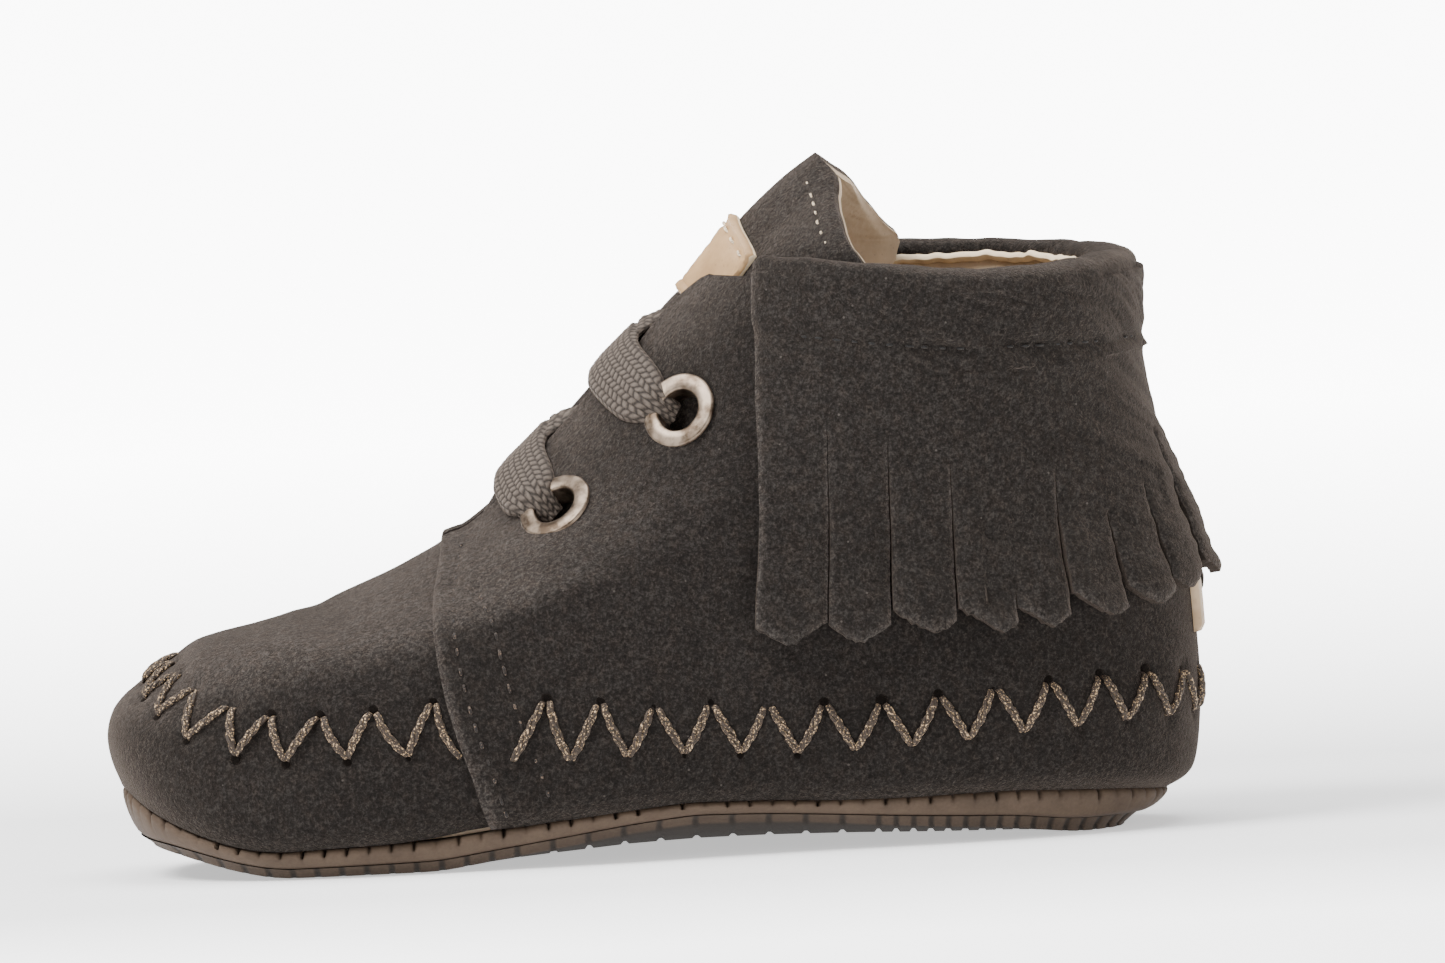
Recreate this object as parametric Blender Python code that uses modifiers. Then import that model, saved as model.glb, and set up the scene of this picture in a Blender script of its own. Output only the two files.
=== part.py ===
"""Soft baby bootie with a fringed cuff: the right shoe, standing empty on its sole.

The toe points to -X, the inner side of the foot to -Y and the collar up. One surface
function, levels stacked from the sole to the tongue's peak, gives every piece its form.
"""
import math

import bmesh
import bpy
import numpy as np
from mathutils import Vector

# Driving sizes of the foot form, in metres
FOOT_LENGTH = 0.1252
BALL_WIDTH = 0.0570
COLLAR_WIDTH = 0.0430
COLLAR_HEIGHT = 0.0656
TONGUE_RISE = 0.0134
TOE_SPRING = 0.0086
ARCH_LIFT = 0.0040
TOE_SWING = 0.0030

# Driving sizes of the pieces, in metres
CLEARANCE = 0.0003
WALL = 0.0022
QUARTER_STEP = 0.0009
THROAT_WIDTH = 0.0090
FACING_CORNER = 0.0024
TREAD_THICKNESS = 0.0016
BAND_THICKNESS = 0.0031
EDGE_INSET = 0.0052
GROOVE_DEPTH = 0.0006
GROOVE_WIDTH = 0.0009
NICK_PITCH = 0.0022
NICK_DEPTH = 0.0005
INSOLE_THICKNESS = 0.0018
TONGUE_THICKNESS = 0.0024
TONGUE_REACH = 0.0200
LABEL_THICKNESS = 0.0007
LABEL_WIDTH = 0.0140
CUFF_THICKNESS = 0.0020
CUFF_SETBACK = 0.0088
CUFF_LEAN = 0.0022
STRIP_THICKNESS = 0.0013
STRIP_PITCH = 0.0073
SLIT_WIDTH = 0.0005
TAB_WIDTH = 0.0100
TAB_THICKNESS = 0.0008
EYELET_HOLE = 0.0050
EYELET_WIDTH = 0.0090
EYELET_METAL = 0.0006
EYELET_RISE = 0.0009
LACE_WIDTH = 0.0105
LACE_THICKNESS = 0.0015

# The foot form, one row for each level from the sole's edge up to the tongue's peak.
# Lengths are shares: front_x and heel_x of FOOT_LENGTH, front_z and heel_z of
# COLLAR_HEIGHT, rise of TONGUE_RISE, ball and collar of half of BALL_WIDTH and COLLAR_WIDTH.
# widest is the place of the greatest width along the level, the two rounds are the
# exponents of its front and heel curves, sag and waist say how far it follows the sole.
LEVEL_COLUMNS = ("front_x", "front_z", "rise", "heel_x", "heel_z", "ball", "collar",
                 "widest", "front_round", "heel_round", "sag", "waist")
LEVELS = np.array((
    (0.010, 0.171, 0.000, 0.966, 0.062, 0.930, 0.000, 0.34, 2.40, 2.60, 1.00, 1.00),
    (0.002, 0.204, 0.000, 0.989, 0.096, 0.980, 0.000, 0.34, 2.40, 2.60, 1.00, 0.95),
    (0.000, 0.247, 0.000, 0.998, 0.183, 1.000, 0.000, 0.34, 2.40, 2.60, 0.90, 0.90),
    (0.008, 0.299, 0.000, 1.000, 0.259, 1.000, 0.000, 0.34, 2.40, 2.55, 0.80, 0.80),
    (0.026, 0.348, 0.000, 0.999, 0.335, 0.980, 0.000, 0.34, 2.35, 2.50, 0.65, 0.70),
    (0.051, 0.392, 0.000, 0.997, 0.419, 0.950, 0.000, 0.34, 2.25, 2.45, 0.50, 0.55),
    (0.085, 0.424, 0.000, 0.991, 0.488, 0.910, 0.000, 0.35, 2.15, 2.40, 0.38, 0.40),
    (0.141, 0.444, 0.000, 0.983, 0.549, 0.600, 0.370, 0.38, 2.05, 2.30, 0.25, 0.25),
    (0.209, 0.476, 0.000, 0.974, 0.610, 0.450, 0.530, 0.43, 2.00, 2.25, 0.15, 0.10),
    (0.281, 0.538, 0.000, 0.963, 0.671, 0.300, 0.690, 0.47, 1.90, 2.20, 0.05, 0.00),
    (0.345, 0.616, 0.000, 0.954, 0.732, 0.150, 0.850, 0.50, 1.80, 2.20, 0.00, 0.00),
    (0.409, 0.730, 0.000, 0.947, 0.793, 0.000, 1.020, 0.52, 1.75, 2.15, 0.00, 0.00),
    (0.469, 0.846, 0.000, 0.944, 0.861, 0.000, 1.000, 0.52, 1.75, 2.15, 0.00, 0.00),
    (0.521, 0.939, 0.000, 0.943, 0.930, 0.000, 1.000, 0.51, 1.75, 2.10, 0.00, 0.00),
    (0.555, 1.000, 0.000, 0.943, 0.979, 0.000, 1.000, 0.50, 1.80, 2.10, 0.00, 0.00),
    (0.594, 1.000, 0.420, 0.943, 1.014, 0.000, 1.000, 0.50, 1.80, 2.10, 0.00, 0.00),
    (0.637, 1.000, 0.780, 0.943, 1.052, 0.000, 0.940, 0.50, 1.80, 2.10, 0.00, 0.00),
    (0.671, 1.000, 1.000, 0.943, 1.082, 0.000, 0.860, 0.50, 1.80, 2.10, 0.00, 0.00),
))
COLLAR_LEVEL = 14
PEAK_LEVEL = 17

# The sole's profile from toe to heel, in shares: x of FOOT_LENGTH, toe of TOE_SPRING,
# arch_in and arch_out (inner and outer edge) of ARCH_LIFT, tread and band of their
# thicknesses.
SOLE_COLUMNS = ("x", "toe", "arch_in", "arch_out", "tread", "band")
SOLE = np.array((
    (-0.02, 0.62, 0.00, 0.00, 0.50, 2.10),
    (0.008, 0.53, 0.00, 0.00, 0.50, 1.72),
    (0.024, 0.46, 0.00, 0.00, 0.50, 1.24),
    (0.043, 0.41, 0.00, 0.00, 0.56, 0.83),
    (0.072, 0.29, 0.00, 0.00, 0.62, 0.54),
    (0.093, 0.19, 0.00, 0.00, 0.66, 0.47),
    (0.115, 0.10, 0.00, 0.00, 0.66, 0.42),
    (0.149, 0.00, 0.00, 0.00, 0.69, 0.47),
    (0.177, 0.00, 0.00, 0.00, 0.69, 0.52),
    (0.300, 0.00, 0.00, 0.00, 0.81, 0.61),
    (0.337, 0.00, 0.19, 0.03, 0.75, 0.58),
    (0.409, 0.00, 0.50, 0.08, 0.69, 0.52),
    (0.470, 0.00, 0.80, 0.14, 0.56, 0.42),
    (0.531, 0.00, 1.00, 0.18, 0.50, 0.34),
    (0.597, 0.00, 0.92, 0.17, 0.50, 0.34),
    (0.641, 0.00, 0.82, 0.14, 0.52, 0.37),
    (0.728, 0.00, 0.55, 0.08, 0.69, 0.58),
    (0.827, 0.00, 0.28, 0.02, 0.88, 0.81),
    (0.880, 0.00, 0.00, 0.00, 1.00, 0.97),
    (0.930, 0.00, 0.00, 0.00, 0.97, 0.84),
    (0.970, 0.00, 0.00, 0.00, 0.92, 0.62),
    (1.020, 0.00, 0.00, 0.00, 0.86, 0.46),
))

# How far each edge of the sole stands inside the upper's lower edge, as shares of
# EDGE_INSET, at its sides, heel end and toe end.
EDGES = {
    "band_top": (0.04, 0.04, 0.06),
    "band_foot": (0.15, 0.35, 0.33),
    "tread_top": (0.23, 0.63, 0.38),
    "tread_foot": (0.38, 1.00, 0.65),
}

# Pitch of the tread's grooves up to a share of FOOT_LENGTH, in metres
TREAD_ZONES = ((0.37, 0.0030), (0.70, 0.0042), (0.96, 0.0027))

# The quarter's front edge over the vamp: its place as a share of FOOT_LENGTH at each level
QUARTER_EDGE = (0.347, 0.341, 0.332, 0.321, 0.312, 0.306, 0.3035, 0.303, 0.3045, 0.3115, 0.3165)
THROAT_LEVEL = 9.4

FACING_LEVEL = 13.0

# The label's rows at the tongue's ridge, in levels, and how far they fall at its sides
LABEL_LEVELS = (14.15, 14.45, 14.75, 15.05)
LABEL_BOW = 0.20

# The tongue's rows: level, and how far it reaches back from its ridge on the inner side and
# on the outer one, of TONGUE_REACH
TONGUE_ROWS = np.array((
    (8.6, 0.25, 0.25), (9.0, 0.42, 0.42), (9.5, 0.52, 0.52), (10.0, 0.62, 0.62),
    (10.5, 0.70, 0.70), (11.0, 0.76, 0.76), (12.0, 0.86, 0.90), (13.0, 0.94, 1.05),
    (13.6, 0.97, 1.11), (14.0, 0.96, 1.09), (14.5, 0.80, 0.99), (15.0, 0.60, 0.86),
    (15.5, 0.41, 0.66), (16.0, 0.24, 0.44), (16.5, 0.11, 0.26), (17.0, 0.04, 0.09),
))
TONGUE_ACROSS = (0.0, 0.07, 0.14, 0.26, 0.42, 0.60, 0.80, 1.0)

# The cuff's rows below its fold: level, and its outward places as shares of CUFF_THICKNESS
CUFF_ROWS = ((13.7, 0.0, 1.10), (13.0, 0.0, 1.05), (12.0, 0.0, 0.92), (11.3, 0.0, 1.00), (10.7, 0.0, 1.0))
# The strips' rows: level at the strip's middle and at its edges, and its stand off the
# quarter as a share of CUFF_THICKNESS
STRIP_ROWS = ((9.2, 9.2, 0.22), (7.4, 7.4, 0.34), (6.0, 6.1, 0.52), (4.4, 5.1, 0.66))
# Where the cuff starts to turn round the heel, as a share of FOOT_LENGTH
PIVOT_X = 0.8200

# The eyelets' places on each side: shares of FOOT_LENGTH and of COLLAR_HEIGHT
EYELET_PLACES = {"lower": (0.4210, 0.6140), "upper": (0.5385, 0.7715)}
# The cuff's front edge, behind the upper eyelets
CUFF_FRONT = EYELET_PLACES["upper"][0] * FOOT_LENGTH + CUFF_SETBACK
# The level at which each lace bar crosses the ridge
BAR_RIDGES = {"lower": 11.0, "upper": 12.5}
# A lace bar from ridge to eyelet: way along, stand over the eyelet's rim, sink into its
# hole and share of LACE_WIDTH
BAR_ROWS = (
    (0.00, 0.0, 0.0, 1.00), (0.15, 0.0, 0.0, 0.96), (0.30, 0.0, 0.0, 0.88),
    (0.45, 0.2, 0.0, 0.82), (0.58, 0.8, 0.0, 0.78), (0.70, 1.45, 0.0, 0.72),
    (0.82, 1.75, 0.0, 0.58), (0.91, 1.5, 0.05, 0.42), (0.965, 0.7, 0.3, 0.28), (0.99, 0.0, 1.0, 0.25),
)

PART_COLLECTION = "baby_shoe"
CUTTER_COLLECTION = "cutters"

# Numbers of the functions below. STEP is their small difference of level or angle, and
# SOLE_EASE, the middle line's and the waist's places are shares of FOOT_LENGTH.
STEP = 1e-3
SOLE_EASE = 0.012
SWING_END = 0.42
WAIST_PLACE = 0.61
WAIST_SPREAD = 0.15
WAIST_INNER = 0.10
WAIST_OUTER = 0.04
TREAD_START = 0.045
SEAM_TURN = 0.012
BAR_BEND = 1.4
BAR_AHEAD = 0.02


def clear_scene():
    """Remove what the file holds already."""
    for item in list(bpy.data.objects):
        bpy.data.objects.remove(item, do_unlink=True)


def new_collection(name):
    """A fresh collection linked to the scene."""
    group = bpy.data.collections.new(name)
    bpy.context.scene.collection.children.link(group)
    return group


def principled(name, colour, roughness, metallic=0.0):
    """A plain Principled material."""
    material = bpy.data.materials.new(name)
    material.use_nodes = True
    shader = material.node_tree.nodes["Principled BSDF"]
    shader.inputs["Base Color"].default_value = (*colour, 1.0)
    shader.inputs["Roughness"].default_value = roughness
    shader.inputs["Metallic"].default_value = metallic
    material.diffuse_color = (*colour, 1.0)
    return material


def blended(rows, place):
    """Rows of a table at fractional places, on a smooth curve through them."""
    place = np.asarray(place, dtype=float)
    last = len(rows) - 1
    low = np.clip(np.floor(place).astype(int), 0, last - 1)
    part = (place - low)[..., None]
    before = rows[np.clip(low - 1, 0, last)]
    here = rows[low]
    after = rows[low + 1]
    beyond = rows[np.clip(low + 2, 0, last)]
    bend = 2 * before - 5 * here + 4 * after - beyond
    twist = 3 * here - before - 3 * after + beyond
    return here + 0.5 * part * (after - before + part * (bend + part * twist))


def sole_value(column, x):
    """A column of the sole's table at x, rounded over its corners."""
    share = np.asarray(x, dtype=float) / FOOT_LENGTH
    values = SOLE[:, SOLE_COLUMNS.index(column)]
    shifts = (-SOLE_EASE, 0.0, SOLE_EASE)
    samples = [np.interp(share + shift, SOLE[:, 0], values) for shift in shifts]
    return sum(samples) / len(samples)


def ground(x, side):
    """Height of the tread's walking face, at the inner edge (-1) or the outer one (1)."""
    inner = sole_value("arch_in", x)
    outer = sole_value("arch_out", x)
    arch = np.where(np.asarray(side) < 0, inner, outer)
    return TOE_SPRING * sole_value("toe", x) + ARCH_LIFT * arch


def tread_top(x):
    """Height of the tread's upper face."""
    return ground(x, -1) + TREAD_THICKNESS * sole_value("tread", x)


def band_foot(x):
    """Height of the light band's lower face."""
    return tread_top(x) + CLEARANCE


def band_top(x):
    """Height of the light band's upper face."""
    return band_foot(x) + BAND_THICKNESS * sole_value("band", x)


def feather(x):
    """Height of the upper's lower edge, just above the light band."""
    return band_top(x) + CLEARANCE


def swing(share):
    """How far the foot's middle line lies to the outer side, at a share of its length."""
    return -TOE_SWING * np.clip(1 - share / SWING_END, 0, None) ** 2


def surface(level, angle):
    """Points of the foot form. The angle is 0 at the front and half a turn at the heel."""
    level, angle = np.broadcast_arrays(np.asarray(level, float), np.asarray(angle, float))
    angle = (angle + math.pi) % (2 * math.pi) - math.pi
    row = dict(zip(LEVEL_COLUMNS, np.moveaxis(blended(LEVELS, level), -1, 0)))
    turn = np.abs(angle)
    side = np.where(angle < 0, -1.0, 1.0)
    ahead = turn <= math.pi / 2
    power = 2 / np.where(ahead, row["front_round"], row["heel_round"])
    along = np.abs(np.cos(turn)) ** power
    across = np.abs(np.sin(turn)) ** power
    way = np.where(ahead, row["widest"] * (1 - along), row["widest"] + (1 - row["widest"]) * along)
    front_x = row["front_x"] * FOOT_LENGTH
    heel_x = row["heel_x"] * FOOT_LENGTH
    front_z = row["front_z"] * COLLAR_HEIGHT + row["rise"] * TONGUE_RISE
    heel_z = row["heel_z"] * COLLAR_HEIGHT
    x = front_x + (heel_x - front_x) * way
    share = x / FOOT_LENGTH
    waist_depth = row["waist"] * np.where(side < 0, WAIST_INNER, WAIST_OUTER)
    waist = waist_depth * np.exp(-((share - WAIST_PLACE) / WAIST_SPREAD) ** 2)
    half = row["ball"] * BALL_WIDTH / 2 + row["collar"] * COLLAR_WIDTH / 2
    y = swing(share) + side * half * across * (1 - waist)
    lowest = dict(zip(LEVEL_COLUMNS, LEVELS[0]))
    sole_way = (share - lowest["front_x"]) / (lowest["heel_x"] - lowest["front_x"])
    chord = COLLAR_HEIGHT * (lowest["front_z"] + (lowest["heel_z"] - lowest["front_z"]) * sole_way)
    z = front_z + (heel_z - front_z) * way + row["sag"] * (feather(x) - chord)
    return np.stack((x, y, z), axis=-1)


def normal(level, angle):
    """Outward directions of the foot form."""
    rise = surface(np.asarray(level) + STEP, angle) - surface(np.asarray(level) - STEP, angle)
    run = surface(level, np.asarray(angle) + STEP) - surface(level, np.asarray(angle) - STEP)
    out = np.cross(rise, run)
    return out / np.linalg.norm(out, axis=-1, keepdims=True)


def offset(level, angle, distance):
    """Points a distance outside the foot form."""
    distance = np.asarray(distance, dtype=float)[..., None]
    return surface(level, angle) + normal(level, angle) * distance


def bisected(test, low, high):
    """The place between low and high where an increasing test turns positive."""
    low = np.array(low, dtype=float)
    high = np.array(high, dtype=float)
    for _ in range(36):
        middle = (low + high) / 2
        over = test(middle) > 0
        high = np.where(over, middle, high)
        low = np.where(over, low, middle)
    return (low + high) / 2


def angle_at_x(level, x, side):
    """The angle at which a level reaches x on one side."""
    level, x = np.broadcast_arrays(np.asarray(level, float), np.asarray(x, float))
    turn = bisected(lambda t: surface(level, side * t)[..., 0] - x,
                    np.zeros(x.shape), np.full(x.shape, math.pi))
    return side * turn


def angle_at_width(level, half, side):
    """The angle at which the front of a level is half wide."""
    level = np.asarray(level, dtype=float)

    def wider(turn):
        point = surface(level, side * turn)
        return np.abs(point[..., 1] - swing(point[..., 0] / FOOT_LENGTH)) - half

    return side * bisected(wider, np.zeros(level.shape), np.full(level.shape, math.pi / 2))


def spot(x, z, side):
    """Level and angle of the point at x and z on one side."""
    def higher(level):
        return surface(level, angle_at_x(level, x, side))[..., 2] - z

    level = bisected(higher, 0.0, float(PEAK_LEVEL))
    return float(level), float(angle_at_x(level, x, side))


def finish_object(name, mesh, material, group, root):
    """Face a mesh outwards and place it in the part."""
    work = bmesh.new()
    work.from_mesh(mesh)
    bmesh.ops.recalc_face_normals(work, faces=work.faces)
    work.to_mesh(mesh)
    work.free()
    mesh.materials.append(material)
    item = bpy.data.objects.new(name, mesh)
    item.parent = root
    group.objects.link(item)
    return item


def two_skins(outer, inner, keep, wrap):
    """Mesh of a sheet with an outer and an inner skin, closed along every open edge."""
    rows, columns = outer.shape[:2]
    index = {}
    points = []

    def vertex(skin, row, column):
        key = (skin, row, column % columns)
        if key not in index:
            index[key] = len(points)
            points.append(tuple((outer, inner)[skin][row, column % columns]))
        return index[key]

    faces = []
    edges = {}
    for row in range(rows - 1):
        for column in range(columns if wrap else columns - 1):
            if not keep(row, column):
                continue
            beside = (column + 1) % columns
            corners = ((row, column), (row, beside), (row + 1, beside), (row + 1, column))
            faces.append([vertex(0, *corner) for corner in corners])
            faces.append([vertex(1, *corner) for corner in reversed(corners)])
            for first, second in zip(corners, corners[1:] + corners[:1]):
                edge = tuple(sorted((first, second)))
                edges.setdefault(edge, []).append((first, second))
    for uses in edges.values():
        if len(uses) == 1:
            first, second = uses[0]
            faces.append([vertex(0, *second), vertex(0, *first), vertex(1, *first), vertex(1, *second)])
    mesh = bpy.data.meshes.new("sheet")
    mesh.from_pydata(points, [], faces)
    return mesh


def slab(top, foot):
    """Mesh between two closed loops whose points pair up across the foot."""
    count = len(top)
    half = count // 2
    faces = []
    for shift, turn in ((0, 1), (count, -1)):
        rungs = [[0, 1, count - 1]]
        rungs += [[i, i + 1, count - i - 1, count - i] for i in range(1, half - 1)]
        rungs += [[half - 1, half, half + 1]]
        faces += [[corner + shift for corner in rung][::turn] for rung in rungs]
    for i in range(count):
        beside = (i + 1) % count
        faces.append([i, count + i, count + beside, beside])
    mesh = bpy.data.meshes.new("slab")
    mesh.from_pydata([tuple(point) for point in (*top, *foot)], [], faces)
    return mesh


def quarter_edge_angle(levels, side):
    """The angle of the quarter's front edge: over the vamp, then along the throat."""
    levels = np.asarray(levels, dtype=float)
    table = np.array(QUARTER_EDGE)
    place = np.interp(levels, np.arange(len(table)), table) * FOOT_LENGTH
    over_vamp = np.abs(angle_at_x(levels, place, side))
    rounding = np.clip((levels - FACING_LEVEL) / (COLLAR_LEVEL - FACING_LEVEL), 0, 1)
    half = THROAT_WIDTH / 2 + FACING_CORNER * (1 - np.sqrt(1 - rounding ** 2))
    by_throat = np.abs(angle_at_width(levels, half, side))
    joined = np.where(levels < THROAT_LEVEL, np.maximum(over_vamp, by_throat), by_throat)
    return side * joined


def build_upper(group, root, material, cutters):
    """The hollow upper: vamp and quarters in one wall, open at throat, collar and sole."""
    levels = np.array((0, 0.5, 1, 1.6, 2.3, 3, 4, 5, 6, 7, 8, 8.7, THROAT_LEVEL, 10, 10.6, 11.3,
                       12, 13, 13.6, COLLAR_LEVEL))
    vamp_count = 9
    quarter_count = 14
    vamp_ways = np.linspace(0, 1, vamp_count + 1)
    quarter_ways = np.linspace(0, 1, quarter_count + 1)
    half_rows = {}
    for side in (-1, 1):
        edge = quarter_edge_angle(levels, side)[:, None]
        vamp = edge * vamp_ways
        seam = edge + side * SEAM_TURN
        quarter = seam + (side * math.pi - seam) * quarter_ways
        half_rows[side] = np.concatenate((vamp, quarter), axis=1)
    near = half_rows[-1]
    far = half_rows[1]
    angles = np.concatenate((near, far[:, -2:0:-1]), axis=1)
    fade = np.concatenate((vamp_ways ** 3, np.zeros(quarter_count + 1)))
    step = np.concatenate((fade, fade[-2:0:-1]))
    outward = -QUARTER_STEP * np.tile(step, (len(levels), 1))
    grid = np.tile(levels[:, None], (1, angles.shape[1]))
    outer = offset(grid, angles, outward)
    inner = offset(grid, angles, np.full(angles.shape, -WALL))
    total = angles.shape[1]
    throat_row = int(np.argmin(np.abs(levels - THROAT_LEVEL)))

    def keep(row, column):
        in_vamp = column <= vamp_count or column >= total - vamp_count - 1
        return not (in_vamp and row >= throat_row)

    mesh = two_skins(outer, inner, keep, True)
    upper = finish_object("upper", mesh, material, group, root)
    for number, cutter in enumerate(cutters):
        hole = upper.modifiers.new(f"eyelet_hole_{number}", "BOOLEAN")
        hole.operation = "DIFFERENCE"
        hole.object = cutter
    return upper


def outline_angles(count):
    """Angles that step evenly along the sole's edge, the same on both sides."""
    turns = np.linspace(0, math.pi, 1200)
    points = surface(0, -turns)[:, :2]
    length = np.concatenate(([0], np.cumsum(np.linalg.norm(np.diff(points, axis=0), axis=1))))
    even = np.interp(np.linspace(0, length[-1], count), length, turns)
    return np.concatenate((-even, even[-2:0:-1]))


def edge_points(angles, edge, extra=0.0):
    """Points in plan along an edge of the sole, with their side of the foot."""
    here = surface(0, angles)
    run = surface(0, angles + STEP) - surface(0, angles - STEP)
    out = np.stack((-run[:, 1], run[:, 0]), axis=-1)
    out /= np.linalg.norm(out, axis=-1, keepdims=True)
    beside, heel, toe = EDGES[edge] if edge in EDGES else (0.0, 0.0, 0.0)
    end = np.where(out[:, 0] > 0, heel, toe)
    inset = EDGE_INSET * (beside + (end - beside) * out[:, 0] ** 2) + extra
    plan = here[:, :2] - out * inset[:, None]
    return plan[:, 0], plan[:, 1]


def build_insole(group, root, material):
    """The insole, on the light band inside the upper's wall."""
    angles = outline_angles(32)
    x, y = edge_points(angles, None, WALL + CLEARANCE)
    foot = np.stack((x, y, feather(x)), axis=-1)
    top = np.stack((x, y, feather(x) + INSOLE_THICKNESS), axis=-1)
    return finish_object("insole", slab(top, foot), material, group, root)


def build_midsole(group, root, material):
    """The light band around the sole, with nicks along its upper edge."""
    turns = np.linspace(0, math.pi, 600)
    points = surface(0, -turns)[:, :2]
    length = np.linalg.norm(np.diff(points, axis=0), axis=1).sum()
    angles = outline_angles(2 * round(length / NICK_PITCH) + 1)
    nicked = (np.arange(len(angles)) % 2) * NICK_DEPTH
    x, y = edge_points(angles, "band_top", nicked)
    top = np.stack((x, y, band_top(x) - nicked), axis=-1)
    x, y = edge_points(angles, "band_foot")
    foot = np.stack((x, y, band_foot(x)), axis=-1)
    return finish_object("midsole", slab(top, foot), material, group, root)


def tread_places():
    """Places of the tread's rungs along the foot, with 1 where a rung is in a groove."""
    places = []
    start = TREAD_START
    for end, pitch in TREAD_ZONES:
        count = max(1, round((end - start) * FOOT_LENGTH / pitch))
        for number in range(count):
            lug = start * FOOT_LENGTH + number * (end - start) * FOOT_LENGTH / count
            half = GROOVE_WIDTH / 2
            for shift, deep in ((-half, 0), (-half * 0.5, 1), (half * 0.5, 1), (half, 0)):
                places.append((lug + shift, deep))
        start = end
    return places


def build_outsole(group, root, material):
    """The tread under the light band, with transverse lugs."""
    places = tread_places()
    x_places = np.array([place for place, _ in places])
    deep = np.array([in_groove for _, in_groove in places], dtype=float)
    turns = np.abs(angle_at_x(0.0, x_places, -1.0))
    front = np.array((0.03, 0.29, 0.63)) * turns[0]
    rear = math.pi - np.array((0.63, 0.23)) * (math.pi - turns[-1])
    sides = np.concatenate((front, turns, rear))
    grooves = np.concatenate((np.zeros(len(front)), deep, np.zeros(len(rear))))
    angles = np.concatenate(((0.0,), -sides, (math.pi,), sides[::-1]))
    grooved = np.concatenate(((0.0,), grooves, (0.0,), grooves[::-1]))
    x, y = edge_points(angles, "tread_top")
    top = np.stack((x, y, tread_top(x)), axis=-1)
    x, y = edge_points(angles, "tread_foot")
    cut = GROOVE_DEPTH * sole_value("tread", x) * grooved
    foot = np.stack((x, y, ground(x, np.sign(angles)) + cut), axis=-1)
    return finish_object("outsole", slab(top, foot), material, group, root)


def tongue_outer(level, angle):
    """The tongue's outer face: under the facings, and crowned in the throat between them."""
    point = surface(level, angle)
    off_middle = np.abs(point[..., 1] - swing(point[..., 0] / FOOT_LENGTH))
    crown = np.interp(level, (13.5, 15.0), (THROAT_WIDTH * 0.47, THROAT_WIDTH))
    ease = np.clip(off_middle / crown, 0, 1)
    ease = ease * ease * (3 - 2 * ease)
    crowned = np.interp(level, (THROAT_LEVEL + 0.2, THROAT_LEVEL + 0.9), (0.0, 1.0))
    return -2 * CLEARANCE - WALL * (1 - crowned * (1 - ease))


def build_tongue(group, root, material):
    """The tongue, from under the vamp up to its peak over the collar."""
    levels, inner_share, outer_share = TONGUE_ROWS.T
    ridge_x = surface(levels, 0.0)[:, 0]
    across = np.array(TONGUE_ACROSS)
    near_edge = angle_at_x(levels, ridge_x + inner_share * TONGUE_REACH, -1.0)
    far_edge = angle_at_x(levels, ridge_x + outer_share * TONGUE_REACH, 1.0)
    near = near_edge[:, None] * across[::-1]
    far = far_edge[:, None] * across[1:]
    angles = np.concatenate((near, far), axis=1)
    grid = np.tile(levels[:, None], (1, angles.shape[1]))
    outward = tongue_outer(grid, angles)
    outer = offset(grid, angles, outward)
    inner = offset(grid, angles, outward - TONGUE_THICKNESS)
    mesh = two_skins(outer, inner, lambda row, column: True, False)
    return finish_object("tongue", mesh, material, group, root)


def build_label(group, root, material):
    """The leather label on the front of the tongue, over the laces."""
    across = np.linspace(-1.0, 1.0, 9)
    grid = np.array(LABEL_LEVELS)[:, None] - LABEL_BOW * np.abs(across) ** 1.5
    half = np.abs(across) * LABEL_WIDTH / 2 + np.zeros(grid.shape)
    angles = angle_at_width(grid, half, np.sign(across))
    foot = tongue_outer(grid, angles) + CLEARANCE
    outer = offset(grid, angles, foot + LABEL_THICKNESS)
    inner = offset(grid, angles, foot)
    mesh = two_skins(outer, inner, lambda row, column: True, False)
    return finish_object("tongue_label", mesh, material, group, root)


def cuff_run():
    """Length of the cuff from its front edge back to the middle of the heel."""
    return PIVOT_X * FOOT_LENGTH - CUFF_FRONT + COLLAR_WIDTH / 2 * math.pi / 2


def cuff_angle(level, run):
    """The angle on a level below a place on the cuff, run measured from its near front edge."""
    half = cuff_run()
    side = np.where(run <= half, -1.0, 1.0)
    run = np.where(run <= half, run, 2 * half - run)
    straight = PIVOT_X * FOOT_LENGTH - CUFF_FRONT
    drop = (COLLAR_LEVEL - level) / (COLLAR_LEVEL - STRIP_ROWS[-1][0])
    lean = CUFF_LEAN * drop * (1 - np.minimum(run, straight) / straight)
    anchor = CUFF_FRONT + np.minimum(run, straight) - lean
    bearing = math.pi / 2 - np.clip(run - straight, 0, None) / (COLLAR_WIDTH / 2)
    level, run, side, anchor, bearing = np.broadcast_arrays(level, run, side, anchor, bearing)

    def past(turn):
        point = surface(level, side * turn)
        return (point[..., 0] - anchor) * np.sin(bearing) - side * point[..., 1] * np.cos(bearing)

    return side * bisected(past, np.zeros(run.shape), np.full(run.shape, math.pi))


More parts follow.
